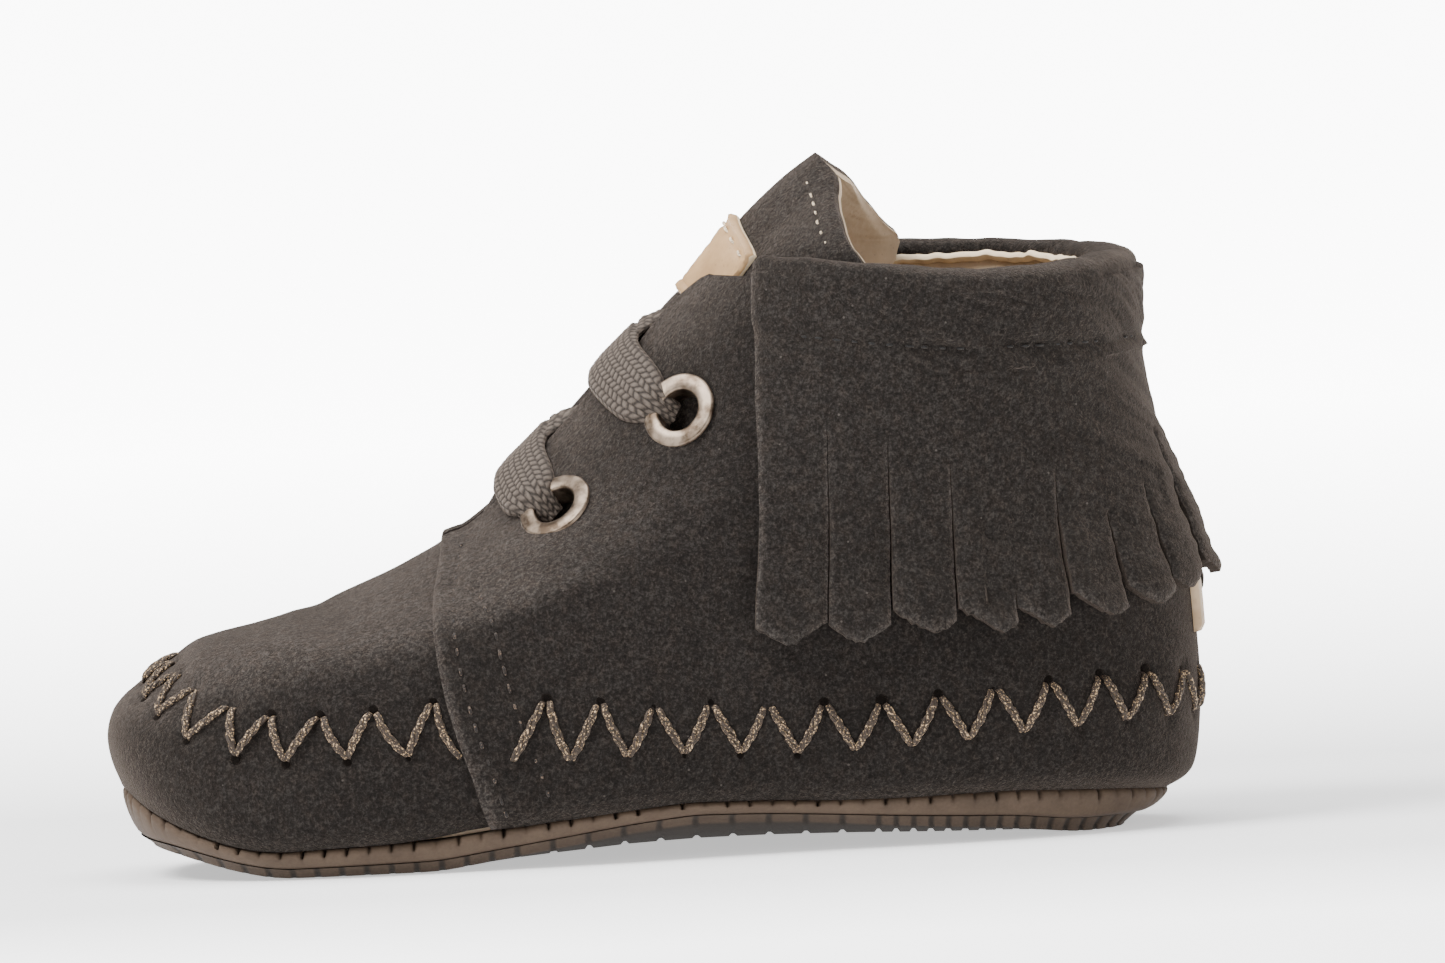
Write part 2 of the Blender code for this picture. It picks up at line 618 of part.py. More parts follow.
def build_cuff(group, root, material):
    """The folded cuff over the collar, with its fringe of cut strips."""
    total = 2 * cuff_run()
    strips = max(3, round(total / STRIP_PITCH))
    pitch = total / strips
    fold_rows = 3
    outer_rows = []
    inner_rows = []
    centres = (np.arange(strips) + 0.5) * pitch
    column_shift = np.array((-0.5, 0.0, 0.5))

    def columns(slit):
        shift = column_shift * (pitch - slit)
        return (centres[:, None] + shift).ravel()

    band_columns = columns(SLIT_WIDTH)
    rim = np.full(band_columns.shape, float(COLLAR_LEVEL))
    rim_angles = cuff_angle(rim, band_columns)
    up = np.array((0.0, 0.0, 1.0))
    fold = CUFF_THICKNESS * 0.7
    folds = ((-WALL, fold, -WALL, 0.0), (0.0, fold, -WALL / 2, 0.0),
             (CUFF_THICKNESS * 0.85, fold * 0.55, CLEARANCE, 0.0))
    for out_place, out_height, in_place, in_height in folds:
        outer = offset(rim, rim_angles, np.full(rim.shape, out_place)) + up * (CLEARANCE + out_height)
        inner = offset(rim, rim_angles, np.full(rim.shape, in_place)) + up * (CLEARANCE + in_height)
        outer_rows.append(outer)
        inner_rows.append(inner)
    for level, stand, out in CUFF_ROWS:
        grid = np.full(band_columns.shape, level)
        angles = cuff_angle(grid, band_columns)
        base = CLEARANCE + stand * CUFF_THICKNESS
        outer_rows.append(offset(grid, angles, np.full(grid.shape, CLEARANCE + out * CUFF_THICKNESS)))
        inner_rows.append(offset(grid, angles, np.full(grid.shape, base)))
    for number, (middle, beside, stand) in enumerate(STRIP_ROWS):
        slit = SLIT_WIDTH * (1.6 + 0.8 * number)
        run = columns(slit)
        uneven = 0.16 * np.sin(2.3 * np.arange(strips)) * (number / (len(STRIP_ROWS) - 1))
        grid = (np.array((beside, middle, beside)) + uneven[:, None]).ravel()
        angles = cuff_angle(grid, run)
        base = CLEARANCE + stand * CUFF_THICKNESS
        outer_rows.append(offset(grid, angles, np.full(grid.shape, base + STRIP_THICKNESS)))
        inner_rows.append(offset(grid, angles, np.full(grid.shape, base)))
    band_rows = fold_rows + len(CUFF_ROWS)

    def keep(row, column):
        between_strips = column % 3 == 2
        return row < band_rows - 1 or not between_strips

    mesh = two_skins(np.array(outer_rows), np.array(inner_rows), keep, False)
    return finish_object("fringe_cuff", mesh, material, group, root)


def build_back_tab(group, root, material):
    """The leather tab down the heel, under the fringe."""
    levels = np.array((4.15, 4.6, 5.2, 5.9, 6.6))
    half = TAB_WIDTH / 2
    across = np.linspace(-half, half, 7)
    heel_half = BALL_WIDTH / 2 * 0.75
    angles = math.pi - across / heel_half * 0.9
    grid, angles = np.meshgrid(levels, angles, indexing="ij")
    outer = offset(grid, angles, np.full(grid.shape, CLEARANCE + TAB_THICKNESS))
    inner = offset(grid, angles, np.full(grid.shape, CLEARANCE))
    mesh = two_skins(outer, inner, lambda row, column: True, False)
    return finish_object("back_tab", mesh, material, group, root)


def eyelet_spots():
    """Level and angle of each eyelet, by name."""
    spots = {}
    for place, (x, z) in EYELET_PLACES.items():
        for side_name, side in (("in", -1.0), ("out", 1.0)):
            spots[f"{place}_{side_name}"] = spot(x * FOOT_LENGTH, z * COLLAR_HEIGHT, side)
    return spots


def stand_on(item, level, angle):
    """Put an object's origin on the foot form, with its Z pointing outwards."""
    item.location = Vector(surface(level, angle))
    item.rotation_euler = Vector(normal(level, angle)).to_track_quat("Z", "Y").to_euler()


def build_eyelet(name, group, root, material, level, angle):
    """A plain turned metal eyelet: a domed rim over the facing and a barrel through it."""
    hole = EYELET_HOLE / 2
    rim = EYELET_WIDTH / 2
    barrel = hole + EYELET_METAL
    profile = (
        (barrel, CLEARANCE), (barrel, -WALL), (hole, -WALL), (hole, CLEARANCE + 0.5 * EYELET_RISE),
        (hole + 0.2 * (rim - hole), CLEARANCE + 0.9 * EYELET_RISE),
        (hole + 0.5 * (rim - hole), CLEARANCE + EYELET_RISE),
        (hole + 0.85 * (rim - hole), CLEARANCE + 0.7 * EYELET_RISE), (rim, CLEARANCE + 0.2 * EYELET_RISE),
        (rim - 0.1 * (rim - hole), CLEARANCE),
    )
    count = len(profile)
    mesh = bpy.data.meshes.new(name)
    mesh.from_pydata([(r, 0.0, z) for r, z in profile], [(i, (i + 1) % count) for i in range(count)], [])
    mesh.materials.append(material)
    item = bpy.data.objects.new(name, mesh)
    item.parent = root
    group.objects.link(item)
    turned = item.modifiers.new("turned", "SCREW")
    turned.axis = "Z"
    turned.steps = 18
    turned.render_steps = 18
    turned.use_merge_vertices = True
    turned.merge_threshold = 1e-5
    turned.use_normal_calculate = True
    stand_on(item, level, angle)
    return item


def eyelet_cutter(name, group, root, level, angle):
    """A cylinder that cuts an eyelet's hole in the upper."""
    work = bmesh.new()
    radius = EYELET_HOLE / 2 + EYELET_METAL + CLEARANCE
    bmesh.ops.create_cone(work, cap_ends=True, segments=18, radius1=radius, radius2=radius,
                          depth=4 * WALL)
    mesh = bpy.data.meshes.new(name)
    work.to_mesh(mesh)
    work.free()
    item = bpy.data.objects.new(name, mesh)
    item.parent = root
    item.hide_render = True
    item.display_type = "WIRE"
    group.objects.link(item)
    stand_on(item, level, angle)
    return item


def build_lace_bar(name, group, root, material, ridge_level, near, far):
    """A flat lace bar over the tongue, from one eyelet's hole to the other's."""
    over = EYELET_RISE + CLEARANCE
    flat = CLEARANCE + LACE_THICKNESS / 2
    centres = []
    wides = []
    widths = []
    for side, (level, angle) in ((-1, near), (1, far)):
        rows = BAR_ROWS[::-1] if side < 0 else BAR_ROWS[1:]
        for way, stand, sink, width in rows:
            here = ridge_level + (level - ridge_level) * way ** BAR_BEND
            turn = angle * way
            height = (flat + stand * over) * (1 - sink) - sink * LACE_THICKNESS * 0.2
            centres.append(offset(here, turn, height))
            beyond = way + BAR_AHEAD
            ahead = surface(ridge_level + (level - ridge_level) * beyond ** BAR_BEND, angle * beyond)
            run = (ahead - surface(here, turn)) * side
            wide = np.cross(normal(here, turn), run)
            wides.append(wide / np.linalg.norm(wide))
            widths.append(width * LACE_WIDTH)
    centres = np.array(centres)
    wides = np.array(wides)
    widths = np.array(widths)
    ways = np.gradient(centres, axis=0)
    thick = np.cross(ways, wides)
    thick /= np.linalg.norm(thick, axis=-1, keepdims=True)
    shares = np.array((-0.5, -0.42, 0.0, 0.42, 0.5))
    fullness = np.array((0.45, 0.9, 1.0, 0.9, 0.45))
    middle = centres[:, None] + wides[:, None] * (widths[:, None] * shares)[..., None]
    half = thick[:, None] * (LACE_THICKNESS / 2 * fullness)[None, :, None]
    mesh = two_skins(middle - half, middle + half, lambda row, column: True, False)
    return finish_object(name, mesh, material, group, root)


def centre_on_floor(root, group):
    """Move the part so that its box stands centred on the origin."""
    bpy.context.view_layer.update()
    graph = bpy.context.evaluated_depsgraph_get()
    corners = []
    for item in group.objects:
        if item.type != "MESH":
            continue
        seen = item.evaluated_get(graph)
        points = np.empty(len(seen.data.vertices) * 3)
        seen.data.vertices.foreach_get("co", points)
        placed = points.reshape(-1, 3) @ np.array(seen.matrix_world.to_3x3()).T
        corners.append(placed + np.array(seen.matrix_world.translation))
    everything = np.concatenate(corners)
    low = everything.min(axis=0)
    high = everything.max(axis=0)
    root.location = (-(low[0] + high[0]) / 2, -(low[1] + high[1]) / 2, -low[2])
    bpy.context.view_layer.update()


def main():
    clear_scene()
    group = new_collection(PART_COLLECTION)
    cutter_group = new_collection(CUTTER_COLLECTION)
    root = bpy.data.objects.new("shoe_root", None)
    group.objects.link(root)
    suede = principled("suede", (0.048, 0.040, 0.036), 0.92)
    suede_cuff = principled("suede_cuff", (0.056, 0.047, 0.042), 0.92)
    suede_tongue = principled("suede_tongue", (0.050, 0.042, 0.038), 0.92)
    lining = principled("lining", (0.52, 0.40, 0.28), 0.75)
    light_rubber = principled("light_rubber", (0.40, 0.30, 0.21), 0.65)
    tread_rubber = principled("tread_rubber", (0.16, 0.11, 0.075), 0.70)
    label_leather = principled("label_leather", (0.58, 0.40, 0.24), 0.60)
    tab_leather = principled("tab_leather", (0.72, 0.60, 0.45), 0.65)
    metal = principled("antique_metal", (0.30, 0.25, 0.20), 0.38, 1.0)
    braid = principled("braid", (0.13, 0.115, 0.10), 0.85)

    spots = eyelet_spots()
    cutters = [eyelet_cutter(f"hole_{name}", cutter_group, root, *place) for name, place in spots.items()]
    build_upper(group, root, suede, cutters)
    build_insole(group, root, lining)
    build_midsole(group, root, light_rubber)
    build_outsole(group, root, tread_rubber)
    build_tongue(group, root, suede_tongue)
    build_label(group, root, label_leather)
    build_cuff(group, root, suede_cuff)
    build_back_tab(group, root, tab_leather)
    for name, place in spots.items():
        build_eyelet(f"eyelet_{name}", group, root, metal, *place)
    for place, ridge_level in BAR_RIDGES.items():
        build_lace_bar(f"lace_bar_{place}", group, root, braid, ridge_level,
                       spots[f"{place}_in"], spots[f"{place}_out"])
    centre_on_floor(root, group)


main()
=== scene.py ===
"""Looks of the fringed baby bootie: every visible surface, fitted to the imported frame."""
import math
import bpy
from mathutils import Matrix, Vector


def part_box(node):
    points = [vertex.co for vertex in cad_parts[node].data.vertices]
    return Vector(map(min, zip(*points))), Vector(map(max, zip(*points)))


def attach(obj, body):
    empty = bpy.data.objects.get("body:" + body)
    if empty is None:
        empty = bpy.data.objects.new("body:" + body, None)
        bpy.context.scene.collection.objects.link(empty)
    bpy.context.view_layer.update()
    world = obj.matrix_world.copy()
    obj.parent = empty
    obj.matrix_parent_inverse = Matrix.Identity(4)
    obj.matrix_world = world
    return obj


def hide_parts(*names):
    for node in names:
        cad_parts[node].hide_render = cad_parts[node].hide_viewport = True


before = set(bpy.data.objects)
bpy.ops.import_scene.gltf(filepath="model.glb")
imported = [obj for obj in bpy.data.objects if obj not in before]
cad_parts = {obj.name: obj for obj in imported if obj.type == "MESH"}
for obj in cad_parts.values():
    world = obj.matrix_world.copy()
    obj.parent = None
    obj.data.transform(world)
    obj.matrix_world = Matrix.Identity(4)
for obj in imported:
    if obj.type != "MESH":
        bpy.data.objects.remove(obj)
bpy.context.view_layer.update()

from types import SimpleNamespace

import bmesh
import bpy
import numpy as np
from mathutils import Matrix, Vector

BODY = "root"

# Sizes of the foot form and of its pieces, in metres
FOOT_LENGTH = 0.1252
BALL_WIDTH = 0.0570
COLLAR_WIDTH = 0.0430
COLLAR_HEIGHT = 0.0656
TONGUE_RISE = 0.0134
TOE_SPRING = 0.0086
ARCH_LIFT = 0.0040
TOE_SWING = 0.0030
SWING_END = 0.42
CLEARANCE = 0.0003
WALL = 0.0022
LINING_DEPTH = 0.00135
QUARTER_STEP = 0.0009
VAMP_UNDERLAP = 0.0035
SEAM_SETBACK = 0.0024
HOLE_ROOM = 0.0006
THROAT_WIDTH = 0.0090
FACING_CORNER = 0.0024
TREAD_THICKNESS = 0.0016
BAND_THICKNESS = 0.0031
EDGE_INSET = 0.0052
NICK_PITCH = 0.0026
BAND_RUN = 0.1460
TONGUE_THICKNESS = 0.0024
TONGUE_REACH = 0.0200
# Even painted highlight over the tongue's suede, as a share of the lighter copy
TONGUE_PAINTED_TOP_LIGHT = 0.40
LABEL_WIDTH = 0.0180
LABEL_HEIGHT = 0.0105
LABEL_LEVELS = (13.55, 15.12)
LABEL_DROP = 0.50
CUFF_THICKNESS = 0.0020
CUFF_SETBACK = 0.0101
CUFF_LEAN = 0.0033
TIP_LEVEL = 4.4
STRIP_THICKNESS = 0.0013
EYELET_HOLE = 0.0050
EYELET_WIDTH = 0.0090
MM = 0.001
SKIN_GAP = 1e-7
CUT_ANGLE = 50

# The foot form, one row for each level, in shares as its columns say
LEVEL_COLUMNS = ("front_x", "front_z", "rise", "heel_x", "heel_z", "ball", "collar",
                 "widest", "front_round", "heel_round", "sag", "waist")
LEVELS = np.array((
    (0.010, 0.171, 0.000, 0.966, 0.062, 0.930, 0.000, 0.34, 2.40, 2.60, 1.00, 1.00),
    (0.002, 0.204, 0.000, 0.989, 0.096, 0.980, 0.000, 0.34, 2.40, 2.60, 1.00, 0.95),
    (0.000, 0.247, 0.000, 0.998, 0.183, 1.000, 0.000, 0.34, 2.40, 2.60, 0.90, 0.90),
    (0.008, 0.299, 0.000, 1.000, 0.259, 1.000, 0.000, 0.34, 2.40, 2.55, 0.80, 0.80),
    (0.026, 0.348, 0.000, 0.999, 0.335, 0.980, 0.000, 0.34, 2.35, 2.50, 0.65, 0.70),
    (0.051, 0.392, 0.000, 0.997, 0.419, 0.950, 0.000, 0.34, 2.25, 2.45, 0.50, 0.55),
    (0.085, 0.424, 0.000, 0.991, 0.488, 0.910, 0.000, 0.35, 2.15, 2.40, 0.38, 0.40),
    (0.141, 0.444, 0.000, 0.983, 0.549, 0.600, 0.370, 0.38, 2.05, 2.30, 0.25, 0.25),
    (0.209, 0.476, 0.000, 0.974, 0.610, 0.450, 0.530, 0.43, 2.00, 2.25, 0.15, 0.10),
    (0.281, 0.538, 0.000, 0.963, 0.671, 0.300, 0.690, 0.47, 1.90, 2.20, 0.05, 0.00),
    (0.345, 0.616, 0.000, 0.954, 0.732, 0.150, 0.850, 0.50, 1.80, 2.20, 0.00, 0.00),
    (0.409, 0.730, 0.000, 0.947, 0.793, 0.000, 1.020, 0.52, 1.75, 2.15, 0.00, 0.00),
    (0.469, 0.846, 0.000, 0.944, 0.861, 0.000, 1.000, 0.52, 1.75, 2.15, 0.00, 0.00),
    (0.521, 0.939, 0.000, 0.943, 0.930, 0.000, 1.000, 0.51, 1.75, 2.10, 0.00, 0.00),
    (0.555, 1.000, 0.000, 0.943, 0.979, 0.000, 1.000, 0.50, 1.80, 2.10, 0.00, 0.00),
    (0.594, 1.000, 0.420, 0.943, 1.014, 0.000, 1.000, 0.50, 1.80, 2.10, 0.00, 0.00),
    (0.637, 1.000, 0.780, 0.943, 1.052, 0.000, 0.940, 0.50, 1.80, 2.10, 0.00, 0.00),
    (0.671, 1.000, 1.000, 0.943, 1.082, 0.000, 0.860, 0.50, 1.80, 2.10, 0.00, 0.00),
))
COLLAR_LEVEL = 14
PEAK_LEVEL = 17

# The sole's profile from toe to heel, in shares as its columns say
SOLE_COLUMNS = ("x", "toe", "arch_in", "arch_out", "tread", "band")
SOLE = np.array((
    (-0.02, 0.62, 0.00, 0.00, 0.50, 2.10),
    (0.008, 0.53, 0.00, 0.00, 0.50, 1.72),
    (0.024, 0.46, 0.00, 0.00, 0.50, 1.24),
    (0.043, 0.41, 0.00, 0.00, 0.56, 0.83),
    (0.072, 0.29, 0.00, 0.00, 0.62, 0.54),
    (0.093, 0.19, 0.00, 0.00, 0.66, 0.47),
    (0.115, 0.10, 0.00, 0.00, 0.66, 0.42),
    (0.149, 0.00, 0.00, 0.00, 0.69, 0.47),
    (0.177, 0.00, 0.00, 0.00, 0.69, 0.52),
    (0.300, 0.00, 0.00, 0.00, 0.81, 0.61),
    (0.337, 0.00, 0.19, 0.03, 0.75, 0.58),
    (0.409, 0.00, 0.50, 0.08, 0.69, 0.52),
    (0.470, 0.00, 0.80, 0.14, 0.56, 0.42),
    (0.531, 0.00, 1.00, 0.18, 0.50, 0.34),
    (0.597, 0.00, 0.92, 0.17, 0.50, 0.34),
    (0.641, 0.00, 0.82, 0.14, 0.52, 0.37),
    (0.728, 0.00, 0.55, 0.08, 0.69, 0.58),
    (0.827, 0.00, 0.28, 0.02, 0.88, 0.81),
    (0.880, 0.00, 0.00, 0.00, 1.00, 0.97),
    (0.930, 0.00, 0.00, 0.00, 0.97, 0.84),
    (0.970, 0.00, 0.00, 0.00, 0.92, 0.62),
    (1.020, 0.00, 0.00, 0.00, 0.86, 0.46),
))
# How far the sole's edges stand inside the upper's lower edge, of EDGE_INSET: sides, heel, toe
EDGES = {
    "band_top": (0.04, 0.04, 0.06),
    "band_foot": (0.15, 0.35, 0.33),
    "tread_top": (0.23, 0.63, 0.38),
    "tread_foot": (0.38, 1.00, 0.65),
}
# Pitch of the tread's grooves up to a share of FOOT_LENGTH
TREAD_ZONES = ((0.37, 0.0030), (0.70, 0.0042), (0.96, 0.0021))
QUARTER_EDGE = (0.347, 0.341, 0.332, 0.321, 0.312, 0.306, 0.3035, 0.303, 0.3045, 0.3115, 0.3165)
THROAT_LEVEL = 9.4
FACING_LEVEL = 13.0
# The tongue's rows: level, and how far it reaches back on the inner side and the outer one
TONGUE_ROWS = np.array((
    (8.6, 0.25, 0.25), (9.0, 0.42, 0.42), (9.5, 0.52, 0.52), (10.0, 0.62, 0.62),
    (10.5, 0.70, 0.70), (11.0, 0.76, 0.76), (12.0, 0.86, 0.90), (13.0, 0.94, 1.05),
    (13.6, 0.97, 1.17), (14.0, 0.96, 1.16), (14.5, 0.80, 1.06), (15.0, 0.60, 0.90),
    (15.5, 0.41, 0.66), (16.0, 0.24, 0.44), (16.5, 0.11, 0.26), (17.0, 0.04, 0.09),
))
PIVOT_X = 0.8200
EYELET_PLACES = {"lower": (0.4210, 0.6140), "upper": (0.5385, 0.7715)}
CUFF_FRONT = EYELET_PLACES["upper"][0] * FOOT_LENGTH + CUFF_SETBACK
STEP = 1e-3
UP = np.array((0.0, 0.0, 1.0))


def unit(vectors):
    """Vectors drawn to length 1."""
    return vectors / np.linalg.norm(vectors, axis=-1, keepdims=True)


def bell(gap, width):
    """1 where the gap is 0, and close to 0 two widths away."""
    return np.exp(-(gap / width) ** 2)


def path_length(points):
    """Length along a path up to each of its points."""
    return np.concatenate(([0], np.cumsum(np.linalg.norm(np.diff(points, axis=0), axis=1))))


def scaled(colour, factor):
    """A colour made darker or lighter."""
    return tuple(factor * part for part in colour)


def blended(rows, place):
    """Rows of a table at fractional places, on a smooth curve through them."""
    place = np.asarray(place, dtype=float)
    last = len(rows) - 1
    low = np.clip(np.floor(place).astype(int), 0, last - 1)
    part = (place - low)[..., None]
    before = rows[np.clip(low - 1, 0, last)]
    here = rows[low]
    after = rows[low + 1]
    beyond = rows[np.clip(low + 2, 0, last)]
    bend = 2 * before - 5 * here + 4 * after - beyond
    twist = 3 * here - before - 3 * after + beyond
    return here + 0.5 * part * (after - before + part * (bend + part * twist))


def sole_value(column, x):
    """A column of the sole's table at x, rounded over its corners."""
    share = np.asarray(x, dtype=float) / FOOT_LENGTH
    values = SOLE[:, SOLE_COLUMNS.index(column)]
    ease = 0.012
    samples = [np.interp(share + shift, SOLE[:, 0], values) for shift in (-ease, 0.0, ease)]
    return sum(samples) / len(samples)


def ground(x, inner_share):
    """Height of the tread's walking face, between the outer edge (0) and the inner one (1)."""
    inner = sole_value("arch_in", x)
    outer = sole_value("arch_out", x)
    arch = outer + (inner - outer) * inner_share
    return TOE_SPRING * sole_value("toe", x) + ARCH_LIFT * arch


def tread_top(x):
    return ground(x, 1.0) + TREAD_THICKNESS * sole_value("tread", x)


def band_foot(x):
    return tread_top(x) + CLEARANCE


def band_top(x):
    return band_foot(x) + BAND_THICKNESS * sole_value("band", x)


def feather(x):
    """Height of the upper's lower edge."""
    return band_top(x) + CLEARANCE


def swing(share):
    """How far the foot's middle line lies to the outer side."""
    return -TOE_SWING * np.clip(1 - share / SWING_END, 0, None) ** 2


def surface(level, angle):
    """Points of the foot form. The angle is 0 at the front and half a turn at the heel."""
    level, angle = np.broadcast_arrays(np.asarray(level, float), np.asarray(angle, float))
    angle = (angle + math.pi) % (2 * math.pi) - math.pi
    row = dict(zip(LEVEL_COLUMNS, np.moveaxis(blended(LEVELS, level), -1, 0)))
    turn = np.abs(angle)
    side = np.where(angle < 0, -1.0, 1.0)
    ahead = turn <= math.pi / 2
    power = 2 / np.where(ahead, row["front_round"], row["heel_round"])
    along = np.abs(np.cos(turn)) ** power
    across = np.abs(np.sin(turn)) ** power
    way = np.where(ahead, row["widest"] * (1 - along), row["widest"] + (1 - row["widest"]) * along)
    front_x = row["front_x"] * FOOT_LENGTH
    heel_x = row["heel_x"] * FOOT_LENGTH
    front_z = row["front_z"] * COLLAR_HEIGHT + row["rise"] * TONGUE_RISE
    heel_z = row["heel_z"] * COLLAR_HEIGHT
    x = front_x + (heel_x - front_x) * way
    share = x / FOOT_LENGTH
    waist = row["waist"] * np.where(side < 0, 0.10, 0.04) * bell(share - 0.61, 0.15)
    half = row["ball"] * BALL_WIDTH / 2 + row["collar"] * COLLAR_WIDTH / 2
    y = swing(share) + side * half * across * (1 - waist)
    lowest = dict(zip(LEVEL_COLUMNS, LEVELS[0]))
    sole_way = (share - lowest["front_x"]) / (lowest["heel_x"] - lowest["front_x"])
    chord = COLLAR_HEIGHT * (lowest["front_z"] + (lowest["heel_z"] - lowest["front_z"]) * sole_way)
    z = front_z + (heel_z - front_z) * way + row["sag"] * (feather(x) - chord)
    return np.stack((x, y, z), axis=-1)


def normal(level, angle):
    """Outward directions of the foot form."""
    rise = surface(np.asarray(level) + STEP, angle) - surface(np.asarray(level) - STEP, angle)
    run = surface(level, np.asarray(angle) + STEP) - surface(level, np.asarray(angle) - STEP)
    return unit(np.cross(rise, run))


def offset(level, angle, distance):
    """Points a distance outside the foot form."""
    distance = np.asarray(distance, dtype=float)[..., None]
    return surface(level, angle) + normal(level, angle) * distance


def bisected(test, low, high):
    """The place between low and high where an increasing test turns positive."""
    low = np.array(low, dtype=float)
    high = np.array(high, dtype=float)
    for _ in range(30):
        middle = (low + high) / 2
        over = test(middle) > 0
        high = np.where(over, middle, high)
        low = np.where(over, low, middle)
    return (low + high) / 2


def angle_at_x(level, x, side):
    """The angle at which a level reaches x on one side."""
    level, x = np.broadcast_arrays(np.asarray(level, float), np.asarray(x, float))
    turn = bisected(lambda t: surface(level, side * t)[..., 0] - x,
                    np.zeros(x.shape), np.full(x.shape, math.pi))
    return side * turn


def angle_at_width(level, half, side):
    """The angle at which the front of a level is half wide."""
    level = np.asarray(level, dtype=float)

    def wider(turn):
        point = surface(level, side * turn)
        return np.abs(point[..., 1] - swing(point[..., 0] / FOOT_LENGTH)) - half

    return side * bisected(wider, np.zeros(level.shape), np.full(level.shape, math.pi / 2))


def spot(x, z, side):
    """Levels and angles of the points at x and z on one side."""
    x, z = np.broadcast_arrays(np.asarray(x, float), np.asarray(z, float))

    def higher(level):
        return surface(level, angle_at_x(level, x, side))[..., 2] - z

    level = bisected(higher, np.zeros(x.shape), np.full(x.shape, float(PEAK_LEVEL)))
    return level, angle_at_x(level, x, side)


def smooth(value, low, high):
    """0 below low, 1 above high, eased between."""
    part = np.clip((np.asarray(value, float) - low) / (high - low), 0, 1)
    return part * part * (3 - 2 * part)


def ripple(values, seed, terms=5, base=1.0):
    """A smooth uneven curve of about unit height, the same each run."""
    rng = np.random.default_rng(seed)
    total = np.zeros(np.shape(values))
    for term in range(terms):
        rate = base * (1.0 + 1.7 * term + rng.random())
        total = total + np.sin(values * rate + rng.random() * 7) / (1 + 0.6 * term)
    return total / 1.6


# The frame stands centred on its box, and the form above starts at the toe
_upper_low, _upper_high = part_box("upper")
_toe = surface(np.linspace(0, 4, 81), 0.0)[:, 0].min()
_sides = surface(np.linspace(0, 8, 81)[:, None], np.linspace(-math.pi, math.pi, 361))[..., 1]
SHIFT = np.array((_upper_low[0] - _toe,
                  (_upper_low[1] + _upper_high[1] - _sides.min() - _sides.max()) / 2, 0.0))


def faces_of(rows, columns, keep, wrap):
    """Cells kept of a grid, and the open edges around them, as index pairs."""
    across = columns if wrap else columns - 1
    kept = np.ones((rows - 1, across), bool) if keep is None else keep
    row, column = np.nonzero(kept)
    beside = (column + 1) % columns
    low, high = row * columns, (row + 1) * columns
    cells = np.stack((low + column, low + beside, high + beside, high + column), axis=1)
    padded = np.zeros((rows + 1, across), bool)
    padded[1:rows] = kept
    edges = []
    for flip in (False, True):
        open_rows = padded[:-1] & ~padded[1:] if flip else padded[1:] & ~padded[:-1]
        r, c = np.nonzero(open_rows)
        first, second = r * columns + c, r * columns + (c + 1) % columns
        edges.append(np.stack((second, first) if flip else (first, second), axis=1))
    for step, end in ((1, 0), (-1, -1)):
        beside = np.roll(kept, step, axis=1)
        if not wrap:
            beside[:, end] = False
        r, c = np.nonzero(kept & ~beside)
        c = (c - end) % columns
        edges.append(np.stack(((r + 1) * columns + c, r * columns + c)[::step], axis=1))
    return cells, np.concatenate(edges)


def make_object(name, points, faces, materials, indices):
    """A mesh piece from numpy points and quad faces."""
    used, compact = np.unique(faces, return_inverse=True)
    points = np.asarray(points, float)[used] + SHIFT
    faces = compact.reshape(faces.shape)
    mesh = bpy.data.meshes.new(name)
    mesh.vertices.add(len(points))
    mesh.vertices.foreach_set("co", points.ravel())
    mesh.loops.add(faces.size)
    mesh.loops.foreach_set("vertex_index", faces.ravel().astype(np.int32))
    mesh.polygons.add(len(faces))
    mesh.polygons.foreach_set("loop_start", np.arange(0, faces.size, faces.shape[1], dtype=np.int32))
    mesh.polygons.foreach_set("material_index", np.asarray(indices, np.int32))
    mesh.polygons.foreach_set("use_smooth", np.ones(len(faces), bool))
    mesh.update(calc_edges=True)
    for material in materials:
        mesh.materials.append(material)
    item = bpy.data.objects.new(name, mesh)
    bpy.context.scene.collection.objects.link(item)
    return item, used


def add_values(item, used, name, values):
    """A number on each point of a piece, for its material to read."""
    layer = item.data.attributes.new(name, "FLOAT", "POINT")
    layer.data.foreach_set("value", np.asarray(values, float).ravel()[used])


def sheet_piece(name, outer, inner, materials, keep=None, values=None):
    """A closed sheet: outer skin, inner skin and rims, with a named material for each."""
    rows, columns = outer.shape[:2]
    cells, edges = faces_of(rows, columns, keep, False)
    count = rows * columns
    rims = np.stack((edges[:, 1], edges[:, 0], edges[:, 0] + count, edges[:, 1] + count), axis=1)
    faces = np.concatenate((cells, cells[:, ::-1] + count, rims))
    indices = np.concatenate((np.zeros(len(cells)), np.ones(len(cells)), np.full(len(rims), 2)))
    points = np.concatenate((outer.reshape(-1, 3), inner.reshape(-1, 3)))
    item, used = make_object(name, points, faces, [MATERIALS[key] for key in materials], indices)
    for label, grid in (values or {}).items():
        add_values(item, used, label, np.concatenate((grid.ravel(), grid.ravel())))
    crisp(item, CUT_ANGLE)
    return item


def crisp(item, degrees):
    """Keep the edges sharp that turn by more than an angle."""
    item.data.set_sharp_from_angle(angle=math.radians(degrees))


def tube_points(path, radius, sides, side_way, up_way, flat):
    """Rings of points around a path."""
    turns = np.linspace(0, 2 * math.pi, sides, endpoint=False)
    radius = np.broadcast_to(radius, path.shape[:1])
    return (path[:, None] + side_way[:, None] * (radius[:, None] * np.cos(turns))[..., None]
            + up_way[:, None] * (radius[:, None] * np.sin(turns) * flat)[..., None])


